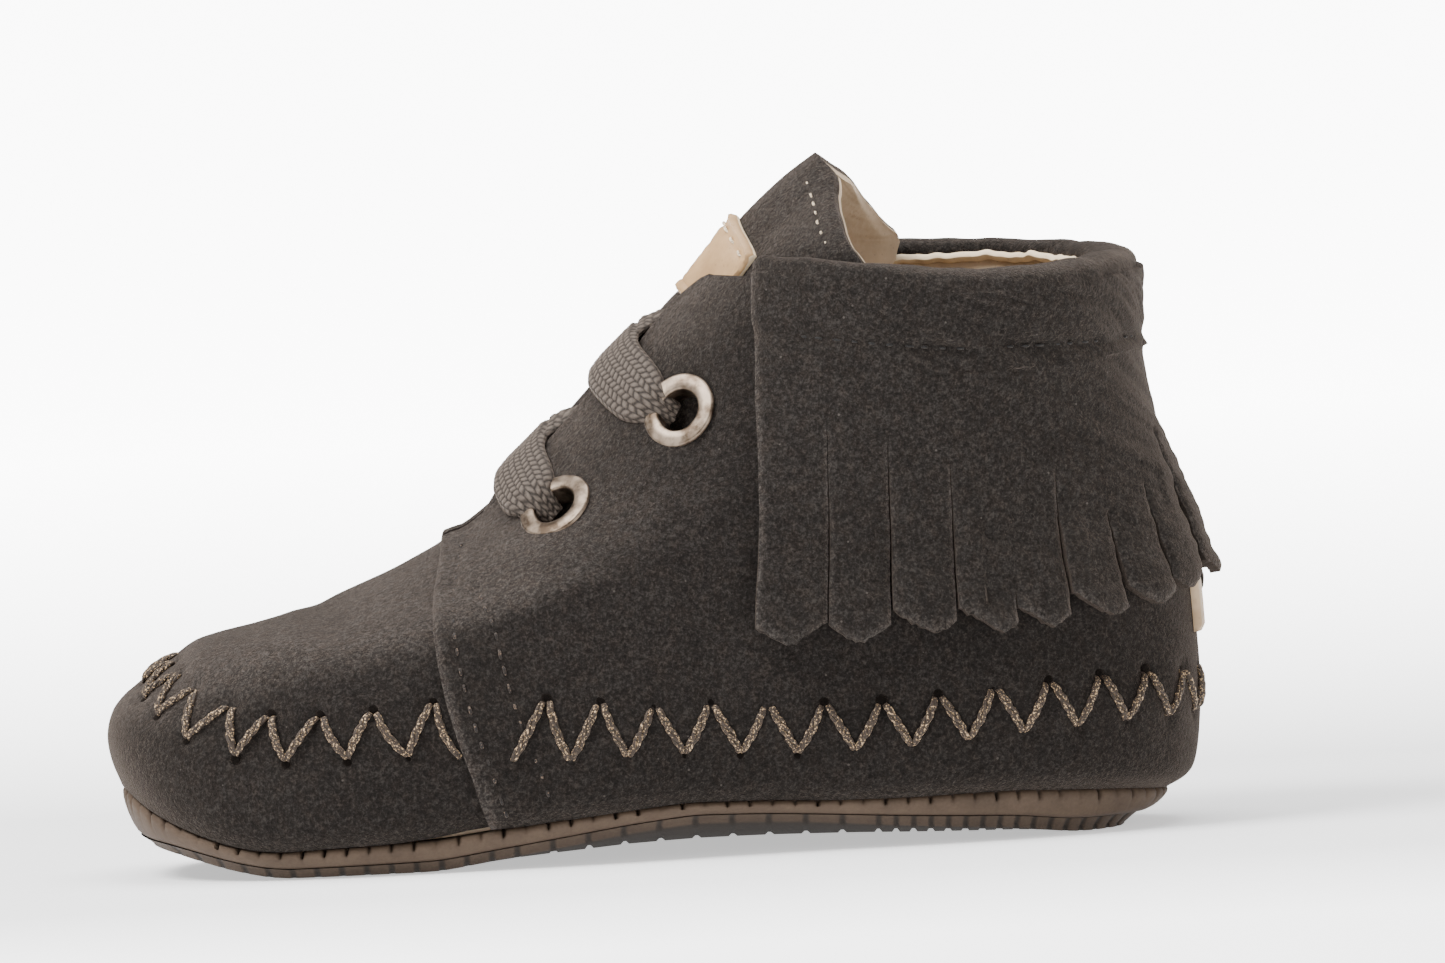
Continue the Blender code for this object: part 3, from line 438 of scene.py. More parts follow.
def tubes_piece(name, rings_list, material):
    """Many closed tubes, with their ends drawn in, joined in one piece."""
    points = []
    faces = []
    start = 0
    for rings in rings_list:
        sides = rings.shape[1]
        first, last = (np.tile(rings[end].mean(axis=0), (1, sides, 1)) for end in (0, -1))
        closed = np.concatenate((first, rings, last))
        points.append(closed.reshape(-1, 3))
        faces.append(faces_of(len(closed), sides, None, True)[0] + start)
        start += len(closed) * sides
    faces = np.concatenate(faces)
    materials = [MATERIALS[material]]
    item, _ = make_object(name, np.concatenate(points), faces, materials, np.zeros(len(faces)))
    weld(item)
    return item


def weld(item):
    """Join points that lie together, so that each piece closes."""
    work = bmesh.new()
    work.from_mesh(item.data)
    bmesh.ops.remove_doubles(work, verts=work.verts, dist=SKIN_GAP)
    bmesh.ops.dissolve_degenerate(work, edges=work.edges, dist=SKIN_GAP)
    bmesh.ops.recalc_face_normals(work, faces=work.faces)
    work.to_mesh(item.data)
    work.free()


class Nodes:
    """Short hand for building a material's nodes."""

    def __init__(self, name, roughness, sheen=0.0, metallic=0.0, specular=0.5):
        self.material = bpy.data.materials.new(name)
        self.material.use_nodes = True
        self.tree = self.material.node_tree
        self.shader = self.tree.nodes["Principled BSDF"]
        sockets = {"Roughness": roughness, "Metallic": metallic, "Specular IOR Level": specular,
                   "Sheen Weight": sheen, "Sheen Roughness": 0.45, "Sheen Tint": (0.70, 0.55, 0.45, 1.0)}
        for socket, setting in sockets.items():
            self.shader.inputs[socket].default_value = setting
        self.place = self.node("ShaderNodeTexCoord").outputs["Object"]

    def node(self, kind, **settings):
        made = self.tree.nodes.new(kind)
        for key, value in settings.items():
            setattr(made, key, value)
        return made

    def link(self, source, target):
        self.tree.links.new(source, target)

    def noise(self, scale, detail=3.0, rough=0.55, stretch=None, distortion=0.0):
        made = self.node("ShaderNodeTexNoise")
        made.inputs["Scale"].default_value = scale
        made.inputs["Detail"].default_value = detail
        made.inputs["Roughness"].default_value = rough
        made.inputs["Distortion"].default_value = distortion
        source = self.place
        if stretch:
            mapping = self.node("ShaderNodeMapping")
            mapping.inputs["Scale"].default_value = stretch
            self.link(self.place, mapping.inputs["Vector"])
            source = mapping.outputs["Vector"]
        self.link(source, made.inputs["Vector"])
        return made.outputs["Fac"]

    def cells(self, scale):
        made = self.node("ShaderNodeTexVoronoi")
        made.inputs["Scale"].default_value = scale
        self.link(self.place, made.inputs["Vector"])
        return made.outputs["Distance"]

    def value(self, name):
        return self.node("ShaderNodeAttribute", attribute_name=name).outputs["Fac"]

    def math(self, operation, first, second=0.5, clamp=False):
        made = self.node("ShaderNodeMath", operation=operation, use_clamp=clamp)
        for socket, value in zip(made.inputs, (first, second)):
            if isinstance(value, (int, float)):
                socket.default_value = value
            else:
                self.link(value, socket)
        return made.outputs[0]

    def weighted(self, *terms):
        """The sum of sources, each times its weight."""
        parts = [self.math("MULTIPLY", source, weight) for source, weight in terms]
        total = parts[0]
        for part in parts[1:]:
            total = self.math("ADD", total, part)
        return total

    def ramp(self, source, stops):
        made = self.node("ShaderNodeValToRGB")
        band = made.color_ramp
        for number, (place, colour) in enumerate(stops):
            stop = band.elements[number] if number < 2 else band.elements.new(place)
            stop.position = place
            stop.color = (*colour, 1.0)
        self.link(source, made.inputs["Fac"])
        return made.outputs["Color"]

    def mix(self, factor, first, second, kind="MIX"):
        made = self.node("ShaderNodeMix", data_type="RGBA", blend_type=kind)
        sockets = (made.inputs["Factor"], made.inputs[6], made.inputs[7])
        for socket, value in zip(sockets, (factor, first, second)):
            if isinstance(value, tuple):
                socket.default_value = (*value, 1.0)
            elif isinstance(value, (int, float)):
                socket.default_value = value
            else:
                self.link(value, socket)
        return made.outputs[2]

    def bump(self, height, strength, distance, below=None):
        made = self.node("ShaderNodeBump")
        made.inputs["Strength"].default_value = strength
        made.inputs["Distance"].default_value = distance
        self.link(height, made.inputs["Height"])
        if below is not None:
            self.link(below, made.inputs["Normal"])
        return made.outputs["Normal"]

    def finish(self, colour, bump=None, roughness=None):
        self.link(colour, self.shader.inputs["Base Color"])
        if bump is not None:
            self.link(bump, self.shader.inputs["Normal"])
        if roughness is not None:
            self.link(roughness, self.shader.inputs["Roughness"])
        return self.material


def suede(name, dark, middle, light):
    """Napped suede: short fibres in small tufts, lighter along cut edges, with a painted highlight on upward
    faces.
    """
    n = Nodes(name, 0.95, sheen=0.22, specular=0.10)
    fibre = n.noise(4300, 3.0, 0.75)
    tuft = n.noise(2100, 3.0, 0.66, distortion=0.4)
    patch = n.noise(260, 3.0, 0.6, distortion=0.5)
    blend = n.weighted((fibre, 0.44), (tuft, 0.48), (patch, 0.08))
    colour = n.ramp(blend, ((0.39, dark), (0.50, middle), (0.61, light)))
    # Painted highlight: a lighter copy of the suede, laid on cut edges and on upward faces where the top
    # light falls
    lifted = ((0.37, scaled(dark, 1.8)), (0.49, scaled(middle, 2.9)), (0.61, scaled(light, 2.6)))
    edge_and_top_light = n.ramp(blend, lifted)
    colour = n.mix(n.math("MAXIMUM", n.value("edge"), n.value("painted_top_light")), colour, edge_and_top_light)
    warm = n.noise(900, 2.0, 0.6, stretch=(1.0, 1.3, 0.8))
    warm = n.ramp(warm, ((0.42, (0.95, 0.99, 1.02)), (0.66, (1.16, 1.02, 0.92))))
    colour = n.mix(0.4, colour, warm, "MULTIPLY")
    lint = n.math("LESS_THAN", n.cells(300), 0.042)
    colour = n.mix(n.math("MULTIPLY", lint, 0.45), colour, scaled(light, 3.2))
    fuzz = n.bump(fibre, 0.7, 0.00018)
    return n.finish(colour, n.bump(tuft, 0.6, 0.00030, fuzz))


def raw_edge(name, colour):
    """The cut edge of suede: lighter, fibrous."""
    n = Nodes(name, 1.0, sheen=0.1, specular=0.05)
    fibre = n.noise(2600, 5.0, 0.75)
    shade = n.ramp(fibre, ((0.32, scaled(colour, 0.45)), (0.52, colour), (0.70, scaled(colour, 1.45))))
    return n.finish(shade, n.bump(fibre, 0.8, 0.0003))


def braid(name, dark, middle, light):
    """Braided yarn coloured by knot height: a painted highlight on the knots, painted shade in the gaps
    between them.
    """
    n = Nodes(name, 0.75, sheen=0.2, specular=0.25)
    fine = n.noise(3600, 3.0, 0.7)
    knot = n.value("knot")
    mixed = n.weighted((n.math("POWER", knot, 2.0), 0.60), (fine, 0.50))
    # Painted highlight and shade: lighter on the knots' tops, darker in the gaps
    colour = n.ramp(mixed, ((0.22, dark), (0.54, middle), (0.88, light)))
    return n.finish(colour, n.bump(fine, 0.5, 0.0002))


def leather(name, dark, light, roughness=0.6, grain=900):
    """Smooth leather with fine pores."""
    n = Nodes(name, roughness, specular=0.35)
    pores = n.cells(grain)
    cloud = n.noise(160, 4.0, 0.6)
    colour = n.ramp(cloud, ((0.35, dark), (0.65, light)))
    colour = n.mix(n.math("MULTIPLY", n.math("LESS_THAN", pores, 0.16), 0.25), colour,
                   scaled(dark, 0.5))
    low = n.bump(pores, 0.25, 0.0001)
    return n.finish(colour, n.bump(n.noise(2200, 3.0), 0.2, 0.0001, low))


def rubber(name, dark, light, roughness=0.72):
    """Matt rubber, a little dusty, darker where its edge value says: painted shade, and some wear."""
    n = Nodes(name, roughness, specular=0.3)
    cloud = n.noise(210, 5.0, 0.65)
    grain = n.noise(2600, 3.0, 0.6)
    mixed = n.weighted((cloud, 0.7), (grain, 0.3))
    colour = n.ramp(mixed, ((0.36, dark), (0.62, light)))
    # Painted shade with some wear: darker in the band's nicks and foot and in the tread's grooves and
    # walking face
    shade_and_wear = n.value("edge")
    colour = n.mix(shade_and_wear, colour, scaled(dark, 0.30))
    return n.finish(colour, n.bump(grain, 0.3, 0.00012))


def thread(name, base, flecks, share):
    """Yarn with brighter fibres among the dark ones."""
    n = Nodes(name, 0.62, sheen=0.15, specular=0.35)
    fine = n.noise(3600, 3.0, 0.7)
    strands = n.noise(4300, 2.0, 0.6)
    colour = n.ramp(fine, ((0.35, scaled(base, 0.4)), (0.62, base)))
    lit = n.ramp(strands, ((1 - share, (0.0, 0.0, 0.0)), (1.04 - share, (1.0, 1.0, 1.0))))
    colour = n.mix(lit, colour, flecks)
    return n.finish(colour, n.bump(fine, 0.5, 0.00015))


def metal(name):
    """Satin antique metal with fine scratches."""
    n = Nodes(name, 0.34, metallic=1.0)
    cloud = n.noise(420, 4.0, 0.6)
    scratch = n.noise(1500, 2.0, 0.5, stretch=(1.0, 6.0, 1.0))
    colour = n.ramp(cloud, ((0.40, (0.075, 0.053, 0.037)), (0.62, (0.27, 0.212, 0.163))))
    rough = n.math("ADD", n.math("MULTIPLY", cloud, 0.30), 0.28)
    return n.finish(colour, n.bump(scratch, 0.08, 0.0001), rough)


MATERIALS = {}
SUEDE_SHEET = ("suede", "lining", "raw")


def make_materials():
    """Every finish of the shoe, by name."""
    MATERIALS.update({
        "suede": suede("suede", (0.0042, 0.0036, 0.0032), (0.0112, 0.0095, 0.0085),
                       (0.0305, 0.0262, 0.0234)),
        "suede_cuff": suede("suede_cuff", (0.0049, 0.0042, 0.0037), (0.0133, 0.0114, 0.0102),
                            (0.0345, 0.0298, 0.0266)),
        "raw": raw_edge("raw_edge", (0.025, 0.0200, 0.0168)),
        "lining": leather("lining", (0.50, 0.385, 0.265), (0.63, 0.49, 0.35), 0.75, 1400),
        "binding": leather("binding", (0.74, 0.58, 0.38), (0.86, 0.70, 0.49), 0.7, 1500),
        "label": leather("label", (0.36, 0.215, 0.10), (0.52, 0.33, 0.17), 0.5, 1100),
        "tab": leather("tab", (0.36, 0.25, 0.15), (0.54, 0.40, 0.26), 0.6, 1200),
        "band": rubber("band", (0.056, 0.036, 0.0225), (0.082, 0.0545, 0.0355)),
        "tread": rubber("tread", (0.042, 0.0275, 0.018), (0.062, 0.0415, 0.0277)),
        "zigzag": thread("zigzag", (0.042, 0.0275, 0.0180), (0.52, 0.36, 0.205), 0.42),
        "seam": thread("seam", (0.015, 0.0108, 0.0085), (0.150, 0.100, 0.068), 0.42),
        # Near black: painted shade along the cuff's stitches, standing for the shadow there
        "cuff_thread_painted_shade": thread("cuff_thread_painted_shade", (0.0045, 0.0038, 0.0034), (0.10, 0.075, 0.058), 0.24),
        "cream_thread": thread("cream_thread", (0.50, 0.39, 0.27), (0.78, 0.64, 0.46), 0.55),
        "braid": braid("braid", (0.0075, 0.0058, 0.0046), (0.037, 0.0288, 0.0232),
                       (0.115, 0.092, 0.075)),
        "metal": metal("metal"),
        # Near black: painted shade for the zigzag's holes
        "hole": raw_edge("hole", (0.004, 0.003, 0.0025)),
    })


def add_piece(item, slot, *nodes):
    """Ride on the body and stand for nodes, hiding them. The slot is not used."""
    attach(item, BODY)
    if nodes:
        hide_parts(*nodes)
    return item


def quarter_edge_x(levels):
    """Place of the quarter's front edge at each level."""
    table = np.array(QUARTER_EDGE)
    return np.interp(levels, np.arange(len(table)), table) * FOOT_LENGTH


def quarter_edge_angle(levels, side):
    """The angle of the quarter's front edge: over the vamp, then along the throat."""
    levels = np.asarray(levels, dtype=float)
    over_vamp = np.abs(angle_at_x(levels, quarter_edge_x(levels), side))
    rounding = np.clip((levels - FACING_LEVEL) / (COLLAR_LEVEL - FACING_LEVEL), 0, 1)
    half = THROAT_WIDTH / 2 + FACING_CORNER * (1 - np.sqrt(1 - rounding ** 2))
    by_throat = np.abs(angle_at_width(levels, half, side))
    corner = 0.06
    joined = np.maximum(over_vamp, by_throat)
    joined = np.where(levels < THROAT_LEVEL + corner, joined, by_throat)
    return side * joined


# Soft creases: start and end as shares of FOOT_LENGTH and COLLAR_HEIGHT, half width and
# depth in metres, and the side, 0 for both
CREASES = (
    ((0.200, 0.50), (0.262, 0.34), 0.0035, 0.00050, -1),
    ((0.245, 0.52), (0.290, 0.42), 0.0028, 0.00040, 1),
    ((0.160, 0.47), (0.190, 0.38), 0.0040, 0.00030, 0),
    ((0.350, 0.36), (0.470, 0.45), 0.0050, 0.00045, -1),
    ((0.400, 0.30), (0.560, 0.33), 0.0060, 0.00040, 0),
    ((0.470, 0.56), (0.560, 0.50), 0.0040, 0.00040, -1),
    ((0.640, 0.30), (0.760, 0.27), 0.0055, 0.00040, 0),
    ((0.860, 0.34), (0.960, 0.30), 0.0050, 0.00035, 0),
    ((0.500, 0.14), (0.640, 0.13), 0.0040, 0.00035, 0),
    ((0.480, 0.88), (0.560, 0.80), 0.0035, 0.00040, 0),
    ((0.080, 0.40), (0.180, 0.45), 0.0065, -0.00075, 0),
    ((0.330, 0.58), (0.375, 0.66), 0.0060, 0.00070, 0),
)


def grid_of(levels, angles):
    """Each row's level at each of its angles."""
    return np.tile(levels[:, None], (1, angles.shape[1]))


def crease_relief(points):
    """Height of the listed creases on points of the form."""
    x = points[..., 0] / FOOT_LENGTH
    z = points[..., 2] / COLLAR_HEIGHT
    relief = np.zeros(x.shape)
    ratio = FOOT_LENGTH / COLLAR_HEIGHT
    for (x0, z0), (x1, z1), width, depth, side in CREASES:
        dx, dz = (x1 - x0) * ratio, z1 - z0
        px, pz = (x - x0) * ratio, z - z0
        way = np.clip((px * dx + pz * dz) / (dx * dx + dz * dz), -0.2, 1.2)
        gap = np.hypot(px - way * dx, pz - way * dz) * COLLAR_HEIGHT
        bend = -bell(gap, width) + 0.45 * bell(gap - 1.9 * width, width)
        side_mask = 1.0 if side == 0 else smooth(points[..., 1] * side, 0.0, 0.006)
        relief = relief + depth * bend * side_mask * (1 - smooth(np.abs(way - 0.5), 0.4, 0.75))
    return relief


# The zigzag's lower and upper corners, in shares of FOOT_LENGTH and COLLAR_HEIGHT, along
# the near side from toe to heel
ZIGZAG = (
    (0.090, 0.240, 0.320), (0.121, 0.222, 0.297), (0.161, 0.211, 0.283), (0.217, 0.209, 0.284),
    (0.273, 0.212, 0.298), (0.329, 0.199, 0.303), (0.393, 0.181, 0.291), (0.497, 0.183, 0.268),
    (0.609, 0.175, 0.259), (0.713, 0.172, 0.252), (0.825, 0.184, 0.268), (0.928, 0.192, 0.276),
    (0.985, 0.194, 0.270),
)
ZIGZAG_TOE = (4.45, 5.65)
ZIGZAG_PITCH = 0.0068
ZIGZAG_GAP = 0.0066
YARNS = 3
# The vamp's corners, upper and lower in turn, from the toe's middle to the quarter's edge
ZIGZAG_VAMP = (0.0, 0.055, 0.107, 0.166, 0.218, 0.271, 0.326, 0.390, 0.448, 0.520, 0.552, 0.637,
               0.671, 0.776, 0.788, 0.910, 0.922, 1.030)


def zigzag_tables(side):
    """Turn, lower level and upper level of the zigzag from the toe's middle to the heel's."""
    table = np.array(ZIGZAG)
    x = table[:, 0] * FOOT_LENGTH
    low, _ = spot(x, table[:, 1] * COLLAR_HEIGHT, side)
    high, _ = spot(x, table[:, 2] * COLLAR_HEIGHT, side)
    _, angle = spot(x, (table[:, 1] + table[:, 2]) / 2 * COLLAR_HEIGHT, side)
    turns = np.concatenate(((0.0,), np.abs(angle), (math.pi,)))
    low = np.concatenate(((ZIGZAG_TOE[0],), low, (low[-1],)))
    high = np.concatenate(((ZIGZAG_TOE[1],), high, (high[-1],)))
    return turns, low, high


def zigzag_run(side):
    """A dense run along the middle of the zigzag on one side, with its length."""
    turns, low, high = zigzag_tables(side)
    dense = np.linspace(0, math.pi, 900)
    low = np.interp(dense, turns, low)
    high = np.interp(dense, turns, high)
    middle = surface((low + high) / 2, side * dense)
    length = path_length(middle)
    return dense, low, high, middle, length


def zigzag_corners():
    """Lists of corners, as level and angle, from heel to seam and from seam round the toe."""
    sides = {}
    for side in (-1.0, 1.0):
        dense, low, high, middle, length = zigzag_run(side)
        edge_x = np.interp((low + high) / 2, np.arange(len(QUARTER_EDGE)), QUARTER_EDGE) * FOOT_LENGTH
        seam = length[np.argmax(middle[:, 0] > edge_x)]
        sides[side] = (dense, low, high, length, seam)

    def corners(side, lengths, start_high):
        dense, low, high, length, _ = sides[side]
        turn = np.interp(lengths, length, dense)
        uppers = (np.arange(len(lengths)) + start_high) % 2 == 1
        level = np.where(uppers, np.interp(turn, dense, high), np.interp(turn, dense, low))
        return level, side * turn

    half = ZIGZAG_PITCH / 2
    runs = []
    back = {}
    for side in (-1.0, 1.0):
        _, _, _, length, seam = sides[side]
        start = seam + ZIGZAG_GAP
        count = int(round((length[-1] - start) / half))
        count += count % 2
        back[side] = corners(side, np.linspace(start, length[-1], count + 1), False)
    near, far = back[-1.0], back[1.0]
    level = np.concatenate((near[0], far[0][-2::-1]))
    angle = np.concatenate((near[1], far[1][-2::-1] - 2 * math.pi))
    runs.append((level, angle))
    front = {}
    for side in (-1.0, 1.0):
        seam = sides[side][4]
        front[side] = corners(side, np.array(ZIGZAG_VAMP) * seam, True)
    near, far = front[-1.0], front[1.0]
    level = np.concatenate((near[0][::-1], far[0][1:]))
    angle = np.concatenate((near[1][::-1], far[1][1:]))
    runs.append((level, angle))
    return runs


def zigzag_dents(points):
    """The suede's small pull-in at every corner of the zigzag."""
    relief = np.zeros(points.shape[:-1])
    for level, angle in zigzag_corners():
        for centre in surface(level[1:-1], angle[1:-1]):
            near = np.abs(points[..., 0] - centre[0]) < 0.004
            if not near.any():
                continue
            gap = np.linalg.norm(points[near] - centre, axis=-1)
            relief[near] -= 0.00045 * bell(gap, 0.0011)
    return relief


def stitch_dents(points, level_line, angle_line):
    """The groove that a row of stitches pulls into the suede."""
    relief = np.zeros(points.shape[:-1])
    for centre in surface(level_line, angle_line):
        near = np.abs(points[..., 0] - centre[0]) < 0.003
        if near.any():
            gap = np.linalg.norm(points[near] - centre, axis=-1)
            relief[near] = np.minimum(relief[near], -0.0003 * bell(gap, 0.0009))
    return relief


# How far the rear stitch row lies behind the quarter's edge, by level, in millimetres
BACK_SEAM = ((0, 2, 4, 6, 7.75), (7.9, 7.6, 7.4, 7.0, 5.4))


def seam_line(kind, side):
    """Level and angle along the two stitch rows behind the quarter's edge."""
    if kind == "front":
        levels = np.linspace(0.35, 9.25, 150)
        x = quarter_edge_x(levels) + SEAM_SETBACK
    else:
        levels = np.linspace(0.35, 7.75, 140)
        x = quarter_edge_x(levels) + np.interp(levels, *BACK_SEAM) * MM
    return levels, angle_at_x(levels, x, side)


# Rows of stitches: pitch, length and radius
STITCH_SIZES = {
    "tongue_stitches": (0.0021, 0.0009, 0.00015),
    "label_stitches": (0.0022, 0.0014, 0.00020),
    "cuff_stitches": (0.0019, 0.0012, 0.00016),
    "quarter_stitches": (0.0021, 0.0013, 0.00018),
}


def stitches(name, lines, lift, material):
    """Rows of short stitches along lines of level and angle."""
    pitch, length, radius = STITCH_SIZES[name]
    rings_list = []
    rng = np.random.default_rng(len(lines))
    for level, angle in lines:
        points = surface(level, angle)
        run = path_length(points)
        count = max(1, int(run[-1] / pitch))
        for number in range(count):
            middle = (number + rng.uniform(0.38, 0.62)) * run[-1] / count
            places = middle + np.linspace(-0.5, 0.5, 7) * length * rng.uniform(0.7, 1.1)
            a = np.interp(places, run, angle)
            l = np.interp(places, run, level)
            arch = np.array((-1.1, 0.3, 0.9, 1.0, 0.9, 0.3, -1.1)) * radius
            path = offset(l, a, lift(l, a) + arch)
            up = normal(l, a)
            beside = unit(np.cross(np.gradient(path, axis=0), up))
            size = radius * np.array((0.5, 0.9, 1.0, 1.05, 1.0, 0.9, 0.5)) * rng.uniform(0.75, 1.15)
            rings_list.append(tube_points(path, size, 6, beside, up, 0.85))
    return tubes_piece(name, rings_list, material)


def painted_top_light_share(levels, angles):
    """How much painted highlight a suede face takes: most on the faces that look upward, toward the top
    light.
    """
    return 0.80 * smooth(normal(levels, angles)[..., 2], 0.35, 0.90)


def vamp_lift(levels, angles):
    """How far the vamp's face lies under the form, deepest under the quarter's edge."""
    x = surface(levels, angles)[..., 0]
    behind = x - quarter_edge_x(levels)
    return -QUARTER_STEP * smooth(behind, -0.013, -0.0005)


def build_vamp():
    """The vamp's suede, over the toe and a little way under the quarters."""
    levels = np.concatenate((np.linspace(0, 2, 22), np.linspace(2, 9.75, 92)[1:]))
    near = angle_at_x(levels, quarter_edge_x(levels) + VAMP_UNDERLAP, -1.0)
    far = angle_at_x(levels, quarter_edge_x(levels) + VAMP_UNDERLAP, 1.0)
    shares = np.linspace(-1, 1, 171)
    angles = np.where(shares < 0, -near[:, None] * shares, far[:, None] * shares)
    grid = grid_of(levels, angles)
    form = surface(grid, angles)
    relief = crease_relief(form) + zigzag_dents(form)
    out = vamp_lift(grid, angles) + relief - 0.00012 * smooth(grid, 9.0, 9.4)
    outer = offset(grid, angles, out)
    inner = offset(grid, angles, np.minimum(out - 0.0009, -0.0011))
    # Painted highlight on the upward faces
    item = sheet_piece("vamp_suede", outer, inner, SUEDE_SHEET, values={"painted_top_light": painted_top_light_share(grid, angles)})
    return add_piece(item, "suede", "upper")


def build_quarters():
    """The quarters' suede in one sheet around the heel, up both facings to the collar."""
    levels = np.concatenate((np.linspace(0, 2, 20), np.linspace(2, COLLAR_LEVEL, 118)[1:]))
    near = quarter_edge_angle(levels, -1.0)
    far = quarter_edge_angle(levels, 1.0) - 2 * math.pi
    ways = np.linspace(0, 1, 241)
    ease = ways - 0.10 * np.sin(2 * math.pi * ways) / (2 * math.pi)
    angles = near[:, None] + (far - near)[:, None] * ease
    grid = grid_of(levels, angles)
    form = surface(grid, angles)
    relief = crease_relief(form) + zigzag_dents(form)
    for side in (-1.0, 1.0):
        for kind in ("front", "back"):
            relief += stitch_dents(form, *seam_line(kind, side))
    apart = [form - form[:, end] for end in (slice(None, 1), slice(-1, None))]
    x_from_edge = np.minimum(*(np.abs(gap[..., 0]) for gap in apart))
    from_edge = np.minimum(*(np.linalg.norm(gap, axis=-1) for gap in apart))
    roll = 0.00020 * bell(from_edge - 0.0009, 0.0006) - 0.00030 * bell(from_edge, 0.0004)
    out = relief + roll + 0.0001 * smooth(x_from_edge, 0, 0.002)
    outer = offset(grid, angles, out)
    inner = offset(grid, angles, np.minimum(out - 0.0006, -QUARTER_STEP + 0.00004))
    edge = 0.95 * bell(from_edge, 0.0009)
    # Lighter cut edge, and painted highlight on the upward faces
    item = sheet_piece("quarter_suede", outer, inner, SUEDE_SHEET, eyelet_keep(grid, angles),
                       {"edge": edge, "painted_top_light": painted_top_light_share(grid, angles)})
    return add_piece(item, "suede", "upper")


def eyelet_spots():
    """Level and angle of each eyelet, by name."""
    spots = {}
    for place, (x, z) in EYELET_PLACES.items():
        for side_name, side in (("in", -1.0), ("out", 1.0)):
            level, angle = spot(x * FOOT_LENGTH, z * COLLAR_HEIGHT, side)
            spots[f"{place}_{side_name}"] = (float(level), float(angle))
    return spots


def eyelet_keep(grid, angles):
    """Cells of a sheet outside the eyelets' holes."""
    points = surface(grid, angles)
    centres = (points[1:, 1:] + points[:-1, :-1]) / 2
    keep = np.ones(centres.shape[:-1], bool)
    for level, angle in eyelet_spots().values():
        keep &= np.linalg.norm(centres - surface(level, angle), axis=-1) > EYELET_HOLE / 2 + HOLE_ROOM
    return keep


def build_lining():
    """The lining inside, from the insole to the collar."""
    levels = np.linspace(0.25, COLLAR_LEVEL, 70)
    ways = np.linspace(0, 1, 161)
    near = quarter_edge_angle(np.maximum(levels, THROAT_LEVEL), -1.0)
    far = quarter_edge_angle(np.maximum(levels, THROAT_LEVEL), 1.0) - 2 * math.pi
    slot = smooth(levels, THROAT_LEVEL - 0.4, THROAT_LEVEL)
    near = near * slot
    far = far * slot - 2 * math.pi * (1 - slot)
    angles = near[:, None] + (far - near)[:, None] * ways
    grid = grid_of(levels, angles)
    outer = offset(grid, angles, -LINING_DEPTH)
    inner = offset(grid, angles, -WALL)
    item = sheet_piece("lining", outer, inner, ("lining", "lining", "raw"), eyelet_keep(grid, angles))
    return add_piece(item, "lining", "upper")


def outline_angles(count):
    """Angles that step evenly along the sole's edge, the same on both sides."""
    turns = np.linspace(0, math.pi, 2400)
    points = surface(0, -turns)[:, :2]
    length = path_length(points)
    even = np.interp(np.linspace(0, length[-1], count), length, turns)
    return np.concatenate((-even, even[-2:0:-1]))


def edge_points(angles, shares, extra=0.0):
    """Points in plan along an edge of the sole."""
    here = surface(0, angles)
    run = surface(0, angles + STEP) - surface(0, angles - STEP)
    out = unit(np.stack((-run[..., 1], run[..., 0]), axis=-1))
    beside, heel, toe = shares
    end = np.where(out[..., 0] > 0, heel, toe)
    inset = EDGE_INSET * (beside + (end - beside) * out[..., 0] ** 2) + extra
    plan = here[..., :2] - out * inset[..., None]
    return plan[..., 0], plan[..., 1]


# The band's side from top to foot: share of the way from its top edge to its foot edge,
# height, extra inset, and how deep the nicks go there
BAND_ROWS = (
    (0.00, 1.00, 0.0030, 0.0), (0.00, 1.00, 0.0008, 0.6), (0.00, 0.99, 0.0001, 1.0),
    (0.05, 0.90, -0.00022, 1.0), (0.14, 0.76, -0.00032, 0.75), (0.28, 0.60, -0.00034, 0.30),
    (0.45, 0.42, -0.00028, 0.16), (0.70, 0.20, -0.00014, 0.10), (0.90, 0.07, 0.00002, 0.05),
    (1.00, 0.0, 0.0006, 0.0),
)
NICK_COLUMNS = 8


def build_band():
    """The light band: a rounded side with a cut nick every couple of millimetres."""
    nicks = 2 * round(BAND_RUN / NICK_PITCH) + 1
    fine = NICK_COLUMNS
    angles = outline_angles((nicks - 1) // 2 * fine + 1)
    number = np.arange(len(angles))
    phase = (number % fine) / fine
    near_nick = np.minimum(phase, 1 - phase) * NICK_PITCH
    rng = np.random.default_rng(5)
    depths = rng.uniform(0.12, 1.0, len(angles) // fine + 2)
    uneven = depths[(number + fine // 2) // fine]
    cut = bell(near_nick, 0.00017) * uneven
    pinch = bell(near_nick, 0.00050)
    top = np.array(EDGES["band_top"])
    foot = np.array(EDGES["band_foot"])
    rings = []
    shade_and_wear = []
    for slope, height, extra, nicked in BAND_ROWS:
        shares = top + (foot - top) * slope
        x, y = edge_points(angles, shares, extra + 0.00075 * cut * nicked + 0.00012 * pinch * nicked)
        low, high = band_foot(x), band_top(x)
        z = low + (high - low) * height - 0.0005 * cut * nicked * height
        z = z + 0.00022 * smooth(height, 0.9, 1.0) - 0.00024 * (1 - smooth(height, 0.0, 0.1))
        rings.append(np.stack((x, y, z), axis=-1))
        # Painted shade in the nicks, and darker along the band's foot; the ripple is wear
        worn = 0.10 * ripple(number * 0.11, 8) * (height > 0.3)
        shade_and_wear.append(np.clip(0.9 * cut * nicked + 0.30 * (height < 0.05) + worn, 0, 1))
    item = ring_piece("sole_band", np.array(rings), np.array(shade_and_wear), "band")
    return add_piece(item, "light_rubber", "midsole")


